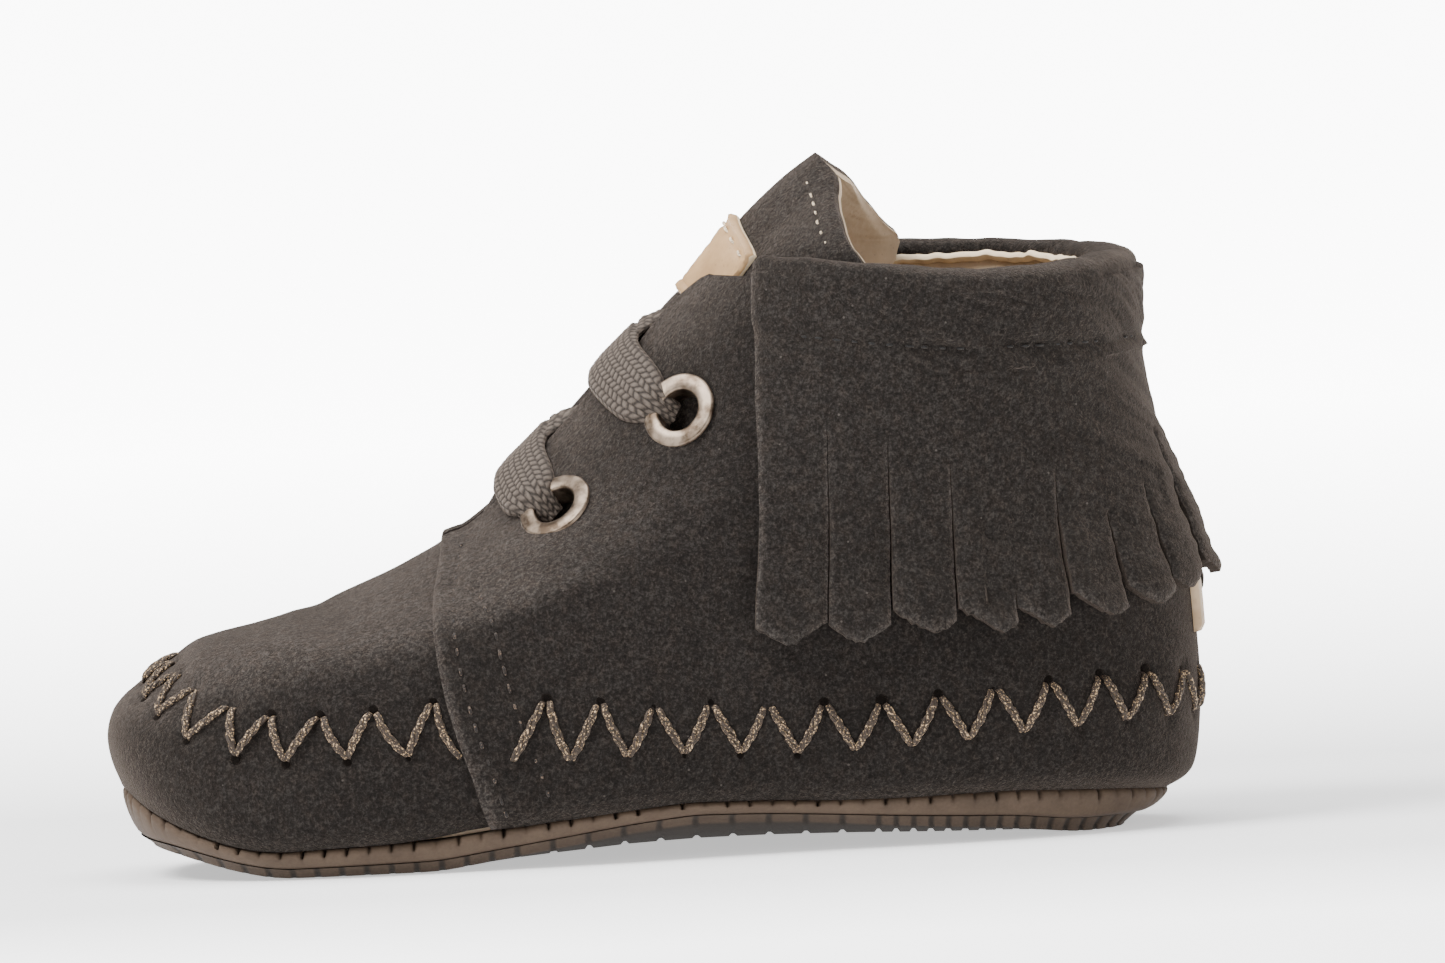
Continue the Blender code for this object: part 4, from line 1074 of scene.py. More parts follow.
def ring_piece(name, rings, shade_and_wear, material):
    """A solid from closed rings, its top and foot closed by rungs across the foot."""
    count = rings.shape[1]
    cells, _ = faces_of(len(rings), count, None, True)
    half = count // 2
    caps = []
    for shift, turn in ((0, 1), ((len(rings) - 1) * count, -1)):
        i = np.arange(1, half - 1)
        rungs = np.stack((i, i + 1, count - i - 1, count - i), axis=1)
        ends = np.array(((0, 1, count - 1, 0), (half - 1, half, half + 1, half - 1)))
        caps.append((np.concatenate((rungs, ends)) + shift)[:, ::turn])
    faces = np.concatenate((cells[:, ::-1], *caps))
    item, used = make_object(name, rings.reshape(-1, 3), faces, [MATERIALS[material]], np.zeros(len(faces)))
    add_values(item, used, "edge", shade_and_wear)
    weld(item)
    crisp(item, 60)
    return item


def tread_rungs():
    """Places of the tread's rungs along the foot, with each one's depth in its groove."""
    places = []
    start = 0.045
    for end, pitch in TREAD_ZONES:
        count = round((end - start) * FOOT_LENGTH / pitch)
        step = (end - start) * FOOT_LENGTH / count
        half = min(0.00040, step * 0.18)
        for number in range(count):
            lug = start * FOOT_LENGTH + number * step
            for shift, deep in ((-half * 1.25, 0.0), (-half * 0.8, 0.55), (-half * 0.4, 1.0),
                                (half * 0.4, 1.0), (half * 0.8, 0.55), (half * 1.25, 0.0)):
                places.append((lug + shift, deep))
        start = end
    return np.array(places)


# Columns of the tread from the near edge (-1) to the far one (1): place, rise of its rounded
# edge in millimetres, and how deep the grooves go there
TREAD_COLUMNS = (
    (-1.0, 0.25, 1.0), (-0.985, 0.07, 1.0), (-0.95, 0.0, 0.1), (-0.88, 0.0, 0.0), (-0.75, 0.0, 0.6),
    (-0.55, 0.0, 1.0), (-0.25, 0.0, 1.0), (0.1, 0.0, 1.0), (0.45, 0.0, 1.0), (0.75, 0.0, 0.6),
    (0.92, 0.0, 0.0), (0.98, 0.07, 0.6), (1.0, 0.25, 1.0),
)
GROOVE_DEPTH = 0.00060


def build_tread():
    """The tread: transverse grooves that notch its edge, and an inner side lifted at the arch."""
    rungs = tread_rungs()
    turns = np.abs(angle_at_x(0.0, rungs[:, 0], -1.0))
    ends = np.array((0.03, 0.12, 0.30, 0.55, 0.8))
    front = ends * turns[0]
    rear = math.pi - ends[::-1] * (math.pi - turns[-1])
    sides = np.concatenate((front, turns, rear))
    deep = np.concatenate((np.zeros(len(front)), rungs[:, 1], np.zeros(len(rear))))[:, None]
    across, rounded, rib = np.array(TREAD_COLUMNS).T
    grids = {}
    for edge in ("tread_top", "tread_foot"):
        near = np.stack(edge_points(-sides, EDGES[edge]), axis=-1)
        far = np.stack(edge_points(sides, EDGES[edge]), axis=-1)
        share = (across + 1) / 2
        grids[edge] = near[:, None] + (far - near)[:, None] * share[None, :, None]
    x = grids["tread_foot"][..., 0]
    inner_share = ((1 - across) / 2) ** 5
    low = ground(x, inner_share)
    cut = GROOVE_DEPTH * sole_value("tread", x) * deep * rib
    foot_z = low + cut + rounded * MM * (1 - 0.6 * deep)
    top_x = grids["tread_top"][..., 0]
    foot = np.concatenate((grids["tread_foot"], foot_z[..., None]), axis=-1)
    top = np.concatenate((grids["tread_top"], tread_top(top_x)[..., None]), axis=-1)
    # Painted shade: the grooves and the whole walking face are darkened, where shade falls under the sole
    shade_and_wear = np.maximum(deep * 0.9, 0.85 * (np.abs(across) < 0.97))
    item = sheet_piece("tread", foot, top, ("tread",) * 3, values={"edge": shade_and_wear})
    weld(item)
    crisp(item, CUT_ANGLE)
    return add_piece(item, "tread_rubber", "outsole")


def tongue_outer(level, angle):
    """The tongue's outer face, crowned in the throat."""
    point = surface(level, angle)
    off_middle = np.abs(point[..., 1] - swing(point[..., 0] / FOOT_LENGTH))
    crown = np.interp(level, (13.5, 15.0), (THROAT_WIDTH * 0.47, THROAT_WIDTH))
    ease = smooth(off_middle / crown, 0, 1)
    crowned = np.interp(level, (THROAT_LEVEL + 0.2, THROAT_LEVEL + 0.9), (0.0, 1.0))
    return -2 * CLEARANCE - WALL * (1 - crowned * (1 - ease))


def tongue_angles(levels, shares, inset=0.0):
    """Angles across the tongue, from its near edge (-1) to its far one (1)."""
    near_reach = np.interp(levels, TONGUE_ROWS[:, 0], TONGUE_ROWS[:, 1]) * TONGUE_REACH
    far_reach = np.interp(levels, TONGUE_ROWS[:, 0], TONGUE_ROWS[:, 2]) * TONGUE_REACH
    ridge_x = surface(levels, 0.0)[:, 0]
    near = np.abs(angle_at_x(levels, ridge_x + near_reach - inset, -1.0))[:, None]
    far = np.abs(angle_at_x(levels, ridge_x + far_reach - inset, 1.0))[:, None]
    return np.where(shares < 0, near * shares, far * shares)


def build_tongue():
    """The tongue: suede outside, lining inside, a raw light edge around its peak."""
    levels = np.concatenate((np.linspace(8.6, 13, 40), np.linspace(13, PEAK_LEVEL, 60)[1:]))
    shares = np.sin(np.linspace(-1, 1, 97) * math.pi / 2)
    shares = 0.5 * shares + 0.5 * np.linspace(-1, 1, 97)
    angles = tongue_angles(levels, shares)
    grid = grid_of(levels, angles)
    near_rim = smooth(np.abs(shares), 0.90, 1.0)
    flare = 0.0006 * smooth(grid, 14.4, 16.5) * smooth(np.abs(shares), 0.3, 1.0)
    out = tongue_outer(grid, angles) - 0.0003 * near_rim - flare
    outer = offset(grid, angles, out)
    seam = offset(grid, angles, out - 0.0011)
    wrinkles = 0.00003 * ripple(grid * 5.3 + shares * 9.0, 33) * (1 - near_rim)
    inner = offset(grid, angles, out - TONGUE_THICKNESS + 0.0008 * near_rim + wrinkles)
    edge = 0.8 * np.maximum(smooth(np.abs(shares), 0.975, 1.0), smooth(grid, 16.9, 17.0))
    # Lighter raw edges, and an even painted highlight over the tongue's suede
    item = sheet_piece("tongue_suede", outer, seam, ("suede", "lining", "suede"),
                       values={"edge": edge, "painted_top_light": np.full(grid.shape, TONGUE_PAINTED_TOP_LIGHT)})
    add_piece(item, "suede_tongue", "tongue")
    add_piece(sheet_piece("tongue_lining", seam, inner, ("lining",) * 3), "lining", "tongue")
    lines = []
    for side in (-1.0, 1.0):
        line_levels = np.linspace(13.8, 16.45, 60)
        inset = np.interp(line_levels, (13.8, 15.5, 16.45), (0.0030, 0.0027, 0.0023))
        lines.append((line_levels, tongue_angles(line_levels, np.array((side,)), inset)[:, 0]))
    made = stitches("tongue_stitches", lines, lambda l, a: tongue_outer(l, a) - 0.0003, "cream_thread")
    add_piece(made, "label_leather")


def label_place(along, across):
    """Level and angle on the label: along from its foot (0) to its top (1), across -1 to 1."""
    foot, top = LABEL_LEVELS
    level = foot + (top - foot) * along - LABEL_DROP * np.abs(across) ** 1.5
    half = np.abs(across) * LABEL_WIDTH / 2
    near = angle_at_width(level, half, -1.0)
    far = angle_at_width(level, half, 1.0)
    return level, np.where(across < 0, near, far)


def build_label():
    """The bare leather label over the tongue's ridge, with its rolled edge and stitches."""
    along, across = np.meshgrid(np.linspace(0, 1, 40), np.linspace(-1, 1, 61), indexing="ij")
    level, angle = label_place(along, across)
    foot = tongue_outer(level, angle) + 0.0001
    to_edge = np.minimum((1 - np.abs(across)) * LABEL_WIDTH / 2, np.minimum(along, 1 - along) * LABEL_HEIGHT)
    rim = np.clip(1 - to_edge / 0.0004, 0, 1) ** 2
    to_top = (1 - along) * LABEL_HEIGHT
    roll = 0.00035 * bell(to_top - 0.0005, 0.0003)
    groove = 0.00022 * bell(to_edge - 0.0016, 0.0003)
    lift = 0.0009 + roll - 0.0005 * rim - groove + 0.00006 * ripple(across * 5 + along * 9, 31)
    outer = offset(level, angle, foot + lift)
    inner = offset(level, angle, foot)
    item = sheet_piece("label", outer, inner, ("label", "label", "binding"))
    add_piece(item, "label_leather", "tongue_label")
    line = label_place(np.full(60, 0.86), np.linspace(-0.86, 0.86, 60))
    made = stitches("label_stitches", [line], lambda l, a: tongue_outer(l, a) + 0.0009, "cream_thread")
    add_piece(made, "label_leather")


def cuff_run():
    """Length of the cuff from its front edge back to the middle of the heel."""
    return PIVOT_X * FOOT_LENGTH - CUFF_FRONT + COLLAR_WIDTH / 2 * math.pi / 2


def cuff_angle(level, run):
    """The angle on a level below a place on the cuff, run measured from its near front edge."""
    half = cuff_run()
    run = np.asarray(run, float)
    side = np.where(run <= half, -1.0, 1.0)
    run = np.where(run <= half, run, 2 * half - run)
    straight = PIVOT_X * FOOT_LENGTH - CUFF_FRONT
    drop = (COLLAR_LEVEL - level) / (COLLAR_LEVEL - TIP_LEVEL)
    lean = CUFF_LEAN * drop * (1 - np.minimum(run, straight) / straight) ** 1.5
    anchor = CUFF_FRONT + np.minimum(run, straight) - lean
    bearing = math.pi / 2 - np.clip(run - straight, 0, None) / (COLLAR_WIDTH / 2)
    level, side, anchor, bearing = np.broadcast_arrays(level, side, anchor, bearing)

    def past(turn):
        point = surface(level, side * turn)
        return (point[..., 0] - anchor) * np.sin(bearing) - side * point[..., 1] * np.cos(bearing)

    return side * bisected(past, np.zeros(side.shape), np.full(side.shape, math.pi))


# The strips of the fringe, from the near front edge round to the far one: where each ends
# along the cuff in millimetres, heights of its tip and of the top of the slit behind it as
# shares of COLLAR_HEIGHT, the place of the tip's point across it, and how deep its cut is,
# how far the tip leans back, stands out and tilts, in millimetres
STRIPS = np.array((
    (7.2, 0.362, 0.735, -0.02, 2.4, 0.0, 0.50, 0.10), (13.5, 0.357, 0.712, 0.03, 2.3, 0.0, 0.20, 0.30),
    (20.0, 0.365, 0.660, 0.16, 2.3, 0.1, 0.45, 0.25), (26.4, 0.360, 0.430, 0.22, 2.2, 0.2, 0.55, 0.15),
    (32.7, 0.364, 0.634, 0.12, 2.1, 0.3, 0.30, 0.20), (40.0, 0.375, 0.563, 0.20, 2.0, 0.4, 0.80, 0.50),
    (46.5, 0.388, 0.600, 0.10, 1.8, 0.5, 0.50, 0.15), (52.7, 0.408, 0.690, -0.05, 1.7, 0.2, 0.30, 0.20),
    (58.9, 0.425, 0.700, 0.05, 1.6, 0.0, 0.95, 0.10), (65.2, 0.430, 0.690, -0.05, 1.6, 0.0, 0.10, -0.20),
    (71.5, 0.388, 0.660, -0.10, 2.0, -0.4, 0.45, -0.30), (77.9, 0.384, 0.600, -0.16, 1.9, -0.5, 0.65, -0.35),
    (85.0, 0.378, 0.690, -0.06, 2.2, -0.3, 0.20, -0.25), (91.4, 0.366, 0.650, -0.20, 2.3, -0.2, 0.35, -0.30),
    (97.8, 0.371, 0.700, -0.14, 2.1, 0.0, 0.10, -0.30), (104.2, 0.362, 0.715, 0.04, 2.4, 0.0, 0.25, -0.20),
    (110.6, 0.366, 0.720, 0.08, 2.2, 0.0, 0.40, -0.15), (117.8, 0.365, 0.730, 0.02, 2.3, 0.0, 0.30, -0.10),
))
# How far the cuff's top edge lies above its even line, in millimetres, along the cuff
RIM_LINE = ((0, 0.7), (6, 0.5), (14, 0.0), (25, -1.1), (35, -0.9), (47, 0.0), (62, 0.1),
            (80, 0.3), (120, 0.5))
# Height of the stitches under the fold, as a share of COLLAR_HEIGHT, along the cuff
CUFF_STITCHES = ((0, 0.897), (8, 0.885), (21, 0.862), (34, 0.856), (46, 0.852), (60, 0.850),
                 (86, 0.856), (106, 0.872), (120, 0.890))

# The cuff's bulge and the strips' stand from the form, by level, in cuff thicknesses
BULGE = ((10.7, 11.5, 12.1, 12.9, 13.85), (1.0, 1.06, 1.02, 1.16, 1.20))
STANDING = ((4.4, 6.0, 7.4, 9.2, 10.9), (0.55, 0.45, 0.32, 0.18, 0.0))
STRIP_COLUMNS = 15
STRIP_GRID_ROWS = 84
STRIP_TOP_LEVEL = 11.5
SLIT_WIDTH = 0.00002
FIRST_SLIT = 0.75
# The fold at the collar: its ends and width across the wall, and the inner face's limits
FOLD_START = -0.0030
FOLD_WIDTH = 0.00545
FOLD_INNER = (-0.0022, 0.0003)


def rim_shift(run):
    """Rise of the collar's rim over its even line."""
    places, rises = np.array(RIM_LINE).T
    return np.interp(run / MM, places, rises) * MM


def levels_at(heights, run):
    """Level on each column of the cuff at given heights, one row of heights for each row."""
    levels = np.linspace(3.0, 13.9, 90)
    z = surface(levels[:, None], cuff_angle(levels[:, None], run[None, :]))[..., 2]
    return np.stack([np.interp(heights[:, i], z[:, i], levels) for i in range(len(run))], axis=1)


def sweep_of(reach):
    """Turn around the rim's fold at a reach from the form, from inside to outside."""
    return math.pi * min(max((reach - FOLD_START) / FOLD_WIDTH, 0), 1)


def cuff_columns():
    """The cuff's columns from the near front edge to the far one, with their strips' sizes."""
    total = 2 * cuff_run()
    ends = STRIPS[:, 0] * total / STRIPS[-1, 0]
    starts = np.concatenate(((0.0,), ends[:-1]))
    share = np.tile(np.linspace(-0.5, 0.5, STRIP_COLUMNS), len(STRIPS))
    strip = np.repeat(np.arange(len(STRIPS)), STRIP_COLUMNS)
    centre = ((starts + ends) / 2)[strip]
    width = (ends - starts)[strip]
    flat = centre + share * (width - SLIT_WIDTH)
    return SimpleNamespace(total=total, share=share, strip=strip, centre=centre, width=width, flat=flat,
                           end_gap=np.minimum(flat, total - flat),
                           shift=rim_shift(flat) + 0.00012 * ripple(flat * 170, 3))


def cuff_fold(cuff):
    """Rows of the fold over the collar's rim, from inside to outside."""
    rim_angles = cuff_angle(COLLAR_LEVEL, cuff.flat)
    fold_rows = [(-0.0026, -0.0009, -0.0022, -0.0008), (-0.0029, -0.0006, -0.0022, -0.0005)]
    for turn in np.linspace(0.04, 1, 12):
        sweep = math.pi * turn
        reach = FOLD_START + FOLD_WIDTH * (1 - math.cos(sweep)) / 2
        height = -0.0004 + 0.0020 * math.sin(sweep) ** 0.75
        inner_reach = min(max(reach + 0.0008, FOLD_INNER[0]), FOLD_INNER[1])
        fold_rows.append((reach, height, inner_reach, min(FOLD_INNER[1], height)))
    end = 0.0005 * bell(cuff.end_gap, 0.0006)
    outers, inners, edges = [], [], []
    for reach, height, inner_reach, inner_height in fold_rows:
        soft = 0.00014 * ripple(cuff.flat * 300 + reach * 900, 13)
        outer = offset(COLLAR_LEVEL, rim_angles, reach + soft - np.sign(reach) * end)
        inner = offset(COLLAR_LEVEL, rim_angles, inner_reach)
        outers.append(outer + UP * (height + cuff.shift - end)[:, None])
        inners.append(inner + UP * (inner_height + cuff.shift)[:, None])
        edges.append(np.maximum(0.45 * math.sin(sweep_of(reach)), 0.5 * bell(cuff.end_gap, 0.0004)))
    return outers, inners, edges


def cuff_body(cuff):
    """Rows of the cuff's uncut part under the fold, pinched along its stitches."""
    flat = cuff.flat
    seam = np.interp(flat / MM, *np.array(CUFF_STITCHES).T) * COLLAR_HEIGHT
    rear = 0.0004 * bell(flat - cuff.total / 2, 0.011)
    end = bell(cuff.end_gap, 0.0005)
    outers, inners, edges = [], [], []
    for level in np.linspace(13.78, 11.55, 34):
        angles = cuff_angle(level, flat)
        pinch = bell(surface(level, angles)[:, 2] - seam, 0.00090)
        body = np.interp(level, *BULGE)
        waves = 0.00020 * ripple(flat * 210 + level * 2, 5) + 0.00012 * ripple(level * 3 + flat * 500, 8)
        out = CLEARANCE + body * CUFF_THICKNESS - 0.00044 * pinch + waves + rear
        fade = smooth(level, 12.3, 14.0)
        outers.append(offset(level, angles, out - 0.0005 * end) + UP * (cuff.shift * fade)[:, None])
        inners.append(offset(level, angles, CLEARANCE * 0.5))
        edges.append(0.7 * bell(cuff.end_gap, 0.00035))
    return outers, inners, edges


def cuff_fringe(cuff):
    """The strips' outer and inner faces, their lighter raw edges with a painted highlight on one side of
    each slit, and the heights of their rows.
    """
    share, strip, width, total = cuff.share, cuff.strip, cuff.width, cuff.total
    _, tip, _, point, cut, lean, stand, tilt = STRIPS[strip].T
    tip = tip * COLLAR_HEIGHT
    behind = STRIPS[:, 2]
    ahead = np.concatenate(((FIRST_SLIT,), behind[:-1]))
    slit_top = np.where(share < 0, ahead[strip], behind[strip]) * COLLAR_HEIGHT
    down = np.linspace(0, 1, STRIP_GRID_ROWS)[:, None]
    first = surface(STRIP_TOP_LEVEL, cuff_angle(STRIP_TOP_LEVEL, cuff.flat))[:, 2]
    serration = 0.00018 * ripple(share * 26 + strip * 3.7, 17) + 0.00010 * ripple(share * 70 + strip, 18)
    bottom = tip + cut * MM * (np.abs(share - point) / 0.55) ** 1.25 + serration
    heights = first + (bottom - first) * down
    level = levels_at(heights, cuff.flat)
    below = np.clip((slit_top - heights) / (slit_top - tip), 0, 1)
    opened = smooth(slit_top - heights, 0.0, 0.0008)
    slit = SLIT_WIDTH + opened * (0.00004 + 0.00010 * below)
    run = np.clip(cuff.centre + share * (width - slit) + lean * MM * below ** 1.5, 0.0, total)
    angles = cuff_angle(level, run)
    standing = np.interp(level, *STANDING) * CUFF_THICKNESS
    out = standing + stand * MM * below ** 3 - tilt * MM * (share * 2) * smooth(below, 0.05, 0.6)
    out = out + 0.00030 * (0.25 - share ** 2) * 4 * smooth(below, 0.1, 0.5)
    out = np.maximum(out + 0.00025 * ripple(heights * 420 + strip * 2.1, 23) * below, 0.0)
    thick = np.interp(level, (9.6, STRIP_TOP_LEVEL), (STRIP_THICKNESS, CUFF_THICKNESS * 1.06))
    side_gap = (0.5 - np.abs(share)) * width
    rounded = bell(side_gap, 0.00028) * opened
    front_end = bell(np.minimum(run, total - run), 0.0005)
    crease = 0.00016 * ripple(run * 260 + level * 2, 5) * (1 - below)
    rim = np.maximum(np.maximum(rounded, bell(heights - bottom, 0.0004)), front_end)
    outer = offset(level, angles, CLEARANCE + out + thick + (crease - 0.00030 * rim))
    inner = offset(level, angles, CLEARANCE * 0.5 + out)
    # Painted highlight: one side of each slit is painted much lighter than the other, as if lit; the lighter
    # band at the tips is the raw cut edge
    lit_side = np.where(share > 0, 0.85, 0.25)
    raw = np.maximum(lit_side * bell(side_gap, 0.00030) * opened, 0.5 * bell(heights - bottom, 0.0010))
    return (outer, inner, np.maximum(raw, 0.7 * front_end)), heights


def build_cuff():
    """The folded cuff and its fringe: each strip cut by hand, uneven, a little curled."""
    cuff = cuff_columns()
    fringe, heights = cuff_fringe(cuff)
    outer, inner, edge = (np.concatenate(parts) for parts in zip(cuff_fold(cuff), cuff_body(cuff), fringe))
    keep = np.ones((len(outer) - 1, outer.shape[1] - 1), bool)
    for number, slit_top in enumerate(STRIPS[:-1, 2] * COLLAR_HEIGHT):
        column = (number + 1) * STRIP_COLUMNS - 1
        keep[-(STRIP_GRID_ROWS - 1):, column] = heights[1:, column] >= slit_top
    item = sheet_piece("cuff_suede", outer, inner, ("suede_cuff", "raw", "raw"), keep,
                       {"edge": np.clip(edge, 0, 1)})
    add_piece(item, "suede_cuff", "fringe_cuff")
    line = np.linspace(0.0010, cuff.total - 0.0010, 500)
    seam = np.interp(line / MM, *np.array(CUFF_STITCHES).T) * COLLAR_HEIGHT
    levels = levels_at(seam[None, :], line)[0]
    lines = [(levels, np.unwrap(cuff_angle(levels, line)))]
    made = stitches("cuff_stitches", lines,
                    lambda l, a: CLEARANCE + 1.02 * CUFF_THICKNESS - 0.00052, "cuff_thread_painted_shade")
    add_piece(made, "suede_cuff")


def build_binding():
    """The cream binding along the inside of the collar, a little wavy."""
    total = 2 * cuff_run()
    run = np.linspace(0.0, total, 420)
    angles = np.unwrap(cuff_angle(COLLAR_LEVEL, run))
    shift = rim_shift(run) + 0.00016 * ripple(run * 330, 41)
    wave = 0.00015 * ripple(run * 450, 42)
    rows = []
    inner_rows = []
    for drop, out in ((-0.0002, -0.0024), (-0.0001, -0.0031), (-0.0004, -0.0035), (-0.0007, -0.0036),
                      (-0.0010, -0.0033), (-0.0012, -0.0027), (-0.0012, -0.0022)):
        outer = offset(COLLAR_LEVEL, angles, out + wave * (out < -0.003))
        inner = offset(COLLAR_LEVEL, angles, -0.0021)
        rows.append(outer + UP * (drop + shift)[:, None])
        inner_rows.append(inner + UP * (min(max(drop, -0.0011), -0.0003) + shift)[:, None])
    item = sheet_piece("collar_binding", np.array(rows), np.array(inner_rows), ("binding",) * 3)
    add_piece(item, "lining")


TAB_HALF = 0.0030
HEEL_HALF = BALL_WIDTH / 2 * 0.75


def build_tab():
    """The cream tab down the heel."""
    levels = np.linspace(3.95, 6.9, 44)
    across = np.linspace(-1, 1, 41)
    angles = math.pi - across * TAB_HALF / HEEL_HALF * 0.9
    grid, angles = np.meshgrid(levels, angles, indexing="ij")
    rim = np.maximum(smooth(np.abs(across), 0.9, 1.0), 1 - smooth(grid, 3.95, 4.08))
    outer = offset(grid, angles, 0.0011 - 0.0004 * rim)
    inner = offset(grid, angles, 0.0002)
    item = sheet_piece("heel_tab", outer, inner, ("tab",) * 3)
    add_piece(item, "tab_leather", "back_tab")


def build_seams():
    """Stitch rows behind the quarter's edge, on both sides."""
    lines = [seam_line(kind, side) for side in (-1.0, 1.0) for kind in ("front", "back")]
    add_piece(stitches("quarter_stitches", lines, lambda l, a: -0.00025, "seam"), "suede")


def zigzag_leg(start, end, on_vamp, rng):
    """The twisted yarns from corner to corner, drawn down at both ends. A corner is a level,
    an angle, and whether it is an upper one."""
    ways = np.linspace(0.0, 1.0, 17)
    swell = np.sin(np.pi * ways) ** 0.5
    l = start[0] + (end[0] - start[0]) * ways
    pull = start[2] * (1 - ways) ** 3 - end[2] * ways ** 3
    a = start[1] + (end[1] - start[1]) * (ways + 0.11 * pull)
    lift = vamp_lift(l, a) if on_vamp else np.zeros(len(ways))
    arch = 0.00034 * np.sin(np.pi * ways) ** 0.35 - 0.00055 * (1 - swell) ** 2
    up = normal(l, a)
    path = surface(l, a) + up * (lift + arch)[:, None]
    beside = unit(np.cross(np.gradient(path, axis=0), up))
    spread = 0.00029 * (0.45 + 0.55 * swell) * rng.uniform(0.85, 1.15)
    first_turn = rng.uniform(0, 2 * math.pi)
    for strand in range(YARNS):
        turn = first_turn + 2 * math.pi * (strand / YARNS + 1.35 * ways)
        centre = (path + beside * (spread * np.cos(turn))[:, None]
                  + up * (0.55 * spread * np.sin(turn))[:, None])
        yield tube_points(centre, 0.00025 * (0.7 + 0.3 * swell), 7, beside, up, 0.9)


def zigzag_hole_shade(corner, on_vamp, rng):
    """Painted shade for the pit that a corner's yarns go down into: a near-black blob half sunk into the
    suede.
    """
    level, angle, is_upper = corner
    up = normal(level, angle)
    high = unit(surface(level + 0.05, angle) - surface(level, angle))
    deep = float(vamp_lift(level, angle)) if on_vamp else 0.0
    centre = surface(level, angle) + high * (0.00038 if is_upper else -0.00038)
    path = centre + up * (deep + np.array((-0.0006, -0.00034, -0.00030)))[:, None]
    sizes = np.array((0.0007, 0.0007, 0.00035)) * rng.uniform(0.75, 1.1)
    beside, high = np.tile(np.cross(up, high), (3, 1)), np.tile(high, (3, 1))
    return tube_points(path, sizes, 10, beside, high, 0.8)


def build_zigzag():
    """The zigzag thread all round the shoe, with painted shade at its holes."""
    yarns = []
    holes = []
    rng = np.random.default_rng(21)
    for level, angle in zigzag_corners():
        on_vamp = abs(angle[len(angle) // 2]) < 1.0
        upper = np.arange(len(level)) % 2 == (0 if level[0] > level[1] else 1)
        corners = list(zip(level, angle, upper))
        for start, end in zip(corners, corners[1:]):
            yarns.extend(zigzag_leg(start, end, on_vamp, rng))
        for corner in corners:
            # Each hole is a near-black blob: painted shade
            holes.append(zigzag_hole_shade(corner, on_vamp, rng))
    add_piece(tubes_piece("zigzag_thread", yarns, "zigzag"), "suede")
    add_piece(tubes_piece("zigzag_hole_shades", holes, "hole"), "suede")


def build_eyelet(name, level, angle):
    """A plain turned eyelet with a rolled rim."""
    hole = EYELET_HOLE / 2
    rim = EYELET_WIDTH / 2
    profile = [(hole, -0.0021), (hole, 0.0003)]
    for turn in np.linspace(0.1, 0.5, 5) * math.pi:
        profile.append((hole + 0.00032 * (1 - math.cos(turn)), 0.00028 + 0.00036 * math.sin(turn)))
    profile += [(hole + 0.0006, 0.00069), (hole + 0.0010, 0.00070), (rim - 0.0008, 0.00066)]
    for turn in np.linspace(0.5, 0.0, 6) * math.pi:
        profile.append((rim - 0.00034 + 0.00034 * math.cos(turn), 0.00022 + 0.00040 * math.sin(turn)))
    profile += [(rim - 0.0003, 0.00005), (hole + 0.0006, 0.00005), (hole + 0.0006, -0.0021)]
    profile = np.array(profile)
    sides = 56
    turns = np.linspace(0, 2 * math.pi, sides, endpoint=False)
    centre = surface(level, angle)
    up = normal(level, angle)
    side = unit(np.cross(up, UP))
    other = np.cross(up, side)
    rings = (centre + up * profile[:, 1, None, None]
             + (side * np.cos(turns)[:, None] + other * np.sin(turns)[:, None]) * profile[:, 0, None, None])
    rings = np.concatenate((rings, rings[:1]))
    cells, _ = faces_of(len(rings), sides, None, True)
    item, _ = make_object(f"ring_{name}", rings.reshape(-1, 3), cells, [MATERIALS["metal"]],
                          np.zeros(len(cells)))
    weld(item)
    crisp(item, 45)
    add_piece(item, "antique_metal", f"eyelet_{name}")


# A lace bar from ridge to eyelet: way along, height over the form, reach below and above
# its middle line, and thickness, in millimetres
LACE_ROWS = np.array((
    (0.00, 0.15, 3.9, 7.9, 1.15), (0.08, 0.20, 3.9, 7.2, 1.15), (0.18, 0.35, 3.9, 5.6, 1.2),
    (0.28, 0.60, 3.9, 4.3, 1.3), (0.40, 0.80, 3.9, 3.9, 1.35), (0.52, 0.98, 3.9, 3.8, 1.35),
    (0.64, 1.15, 3.9, 3.7, 1.35), (0.74, 1.35, 3.8, 3.5, 1.35), (0.82, 1.45, 3.5, 3.2, 1.4),
    (0.88, 1.35, 3.1, 2.9, 1.5), (0.93, 0.75, 2.7, 2.6, 1.6), (0.965, -0.40, 2.4, 2.3, 1.7),
    (1.00, -2.20, 2.2, 2.1, 1.8),
))
LACE_RIDGES = {"lower": 10.84, "upper": 12.27}
LACE_END = 0.93
LACE_HALF = 0.0039
PLAITS = 4.5
PLAIT_PITCH = 0.00108
LACE_ROUNDS = 40


def braid_beads(place, reach, length):
    """Height of the braid's slanting beads, in lanes along a lace."""
    lane_place = place / (reach / PLAITS)
    lane = np.floor(lane_place)
    inside = lane_place - lane - 0.5
    odd = np.mod(lane, 2)
    u = length / PLAIT_PITCH + (1 - 2 * odd) * inside * 0.42 + 0.40 * odd
    stitch = u - np.floor(u) - 0.5
    along, beside = 1 - (1.85 * stitch) ** 2, 1 - (1.8 * inside) ** 4
    return np.sqrt(np.clip(along, 0, 1)) * np.sqrt(np.clip(beside, 0, 1))


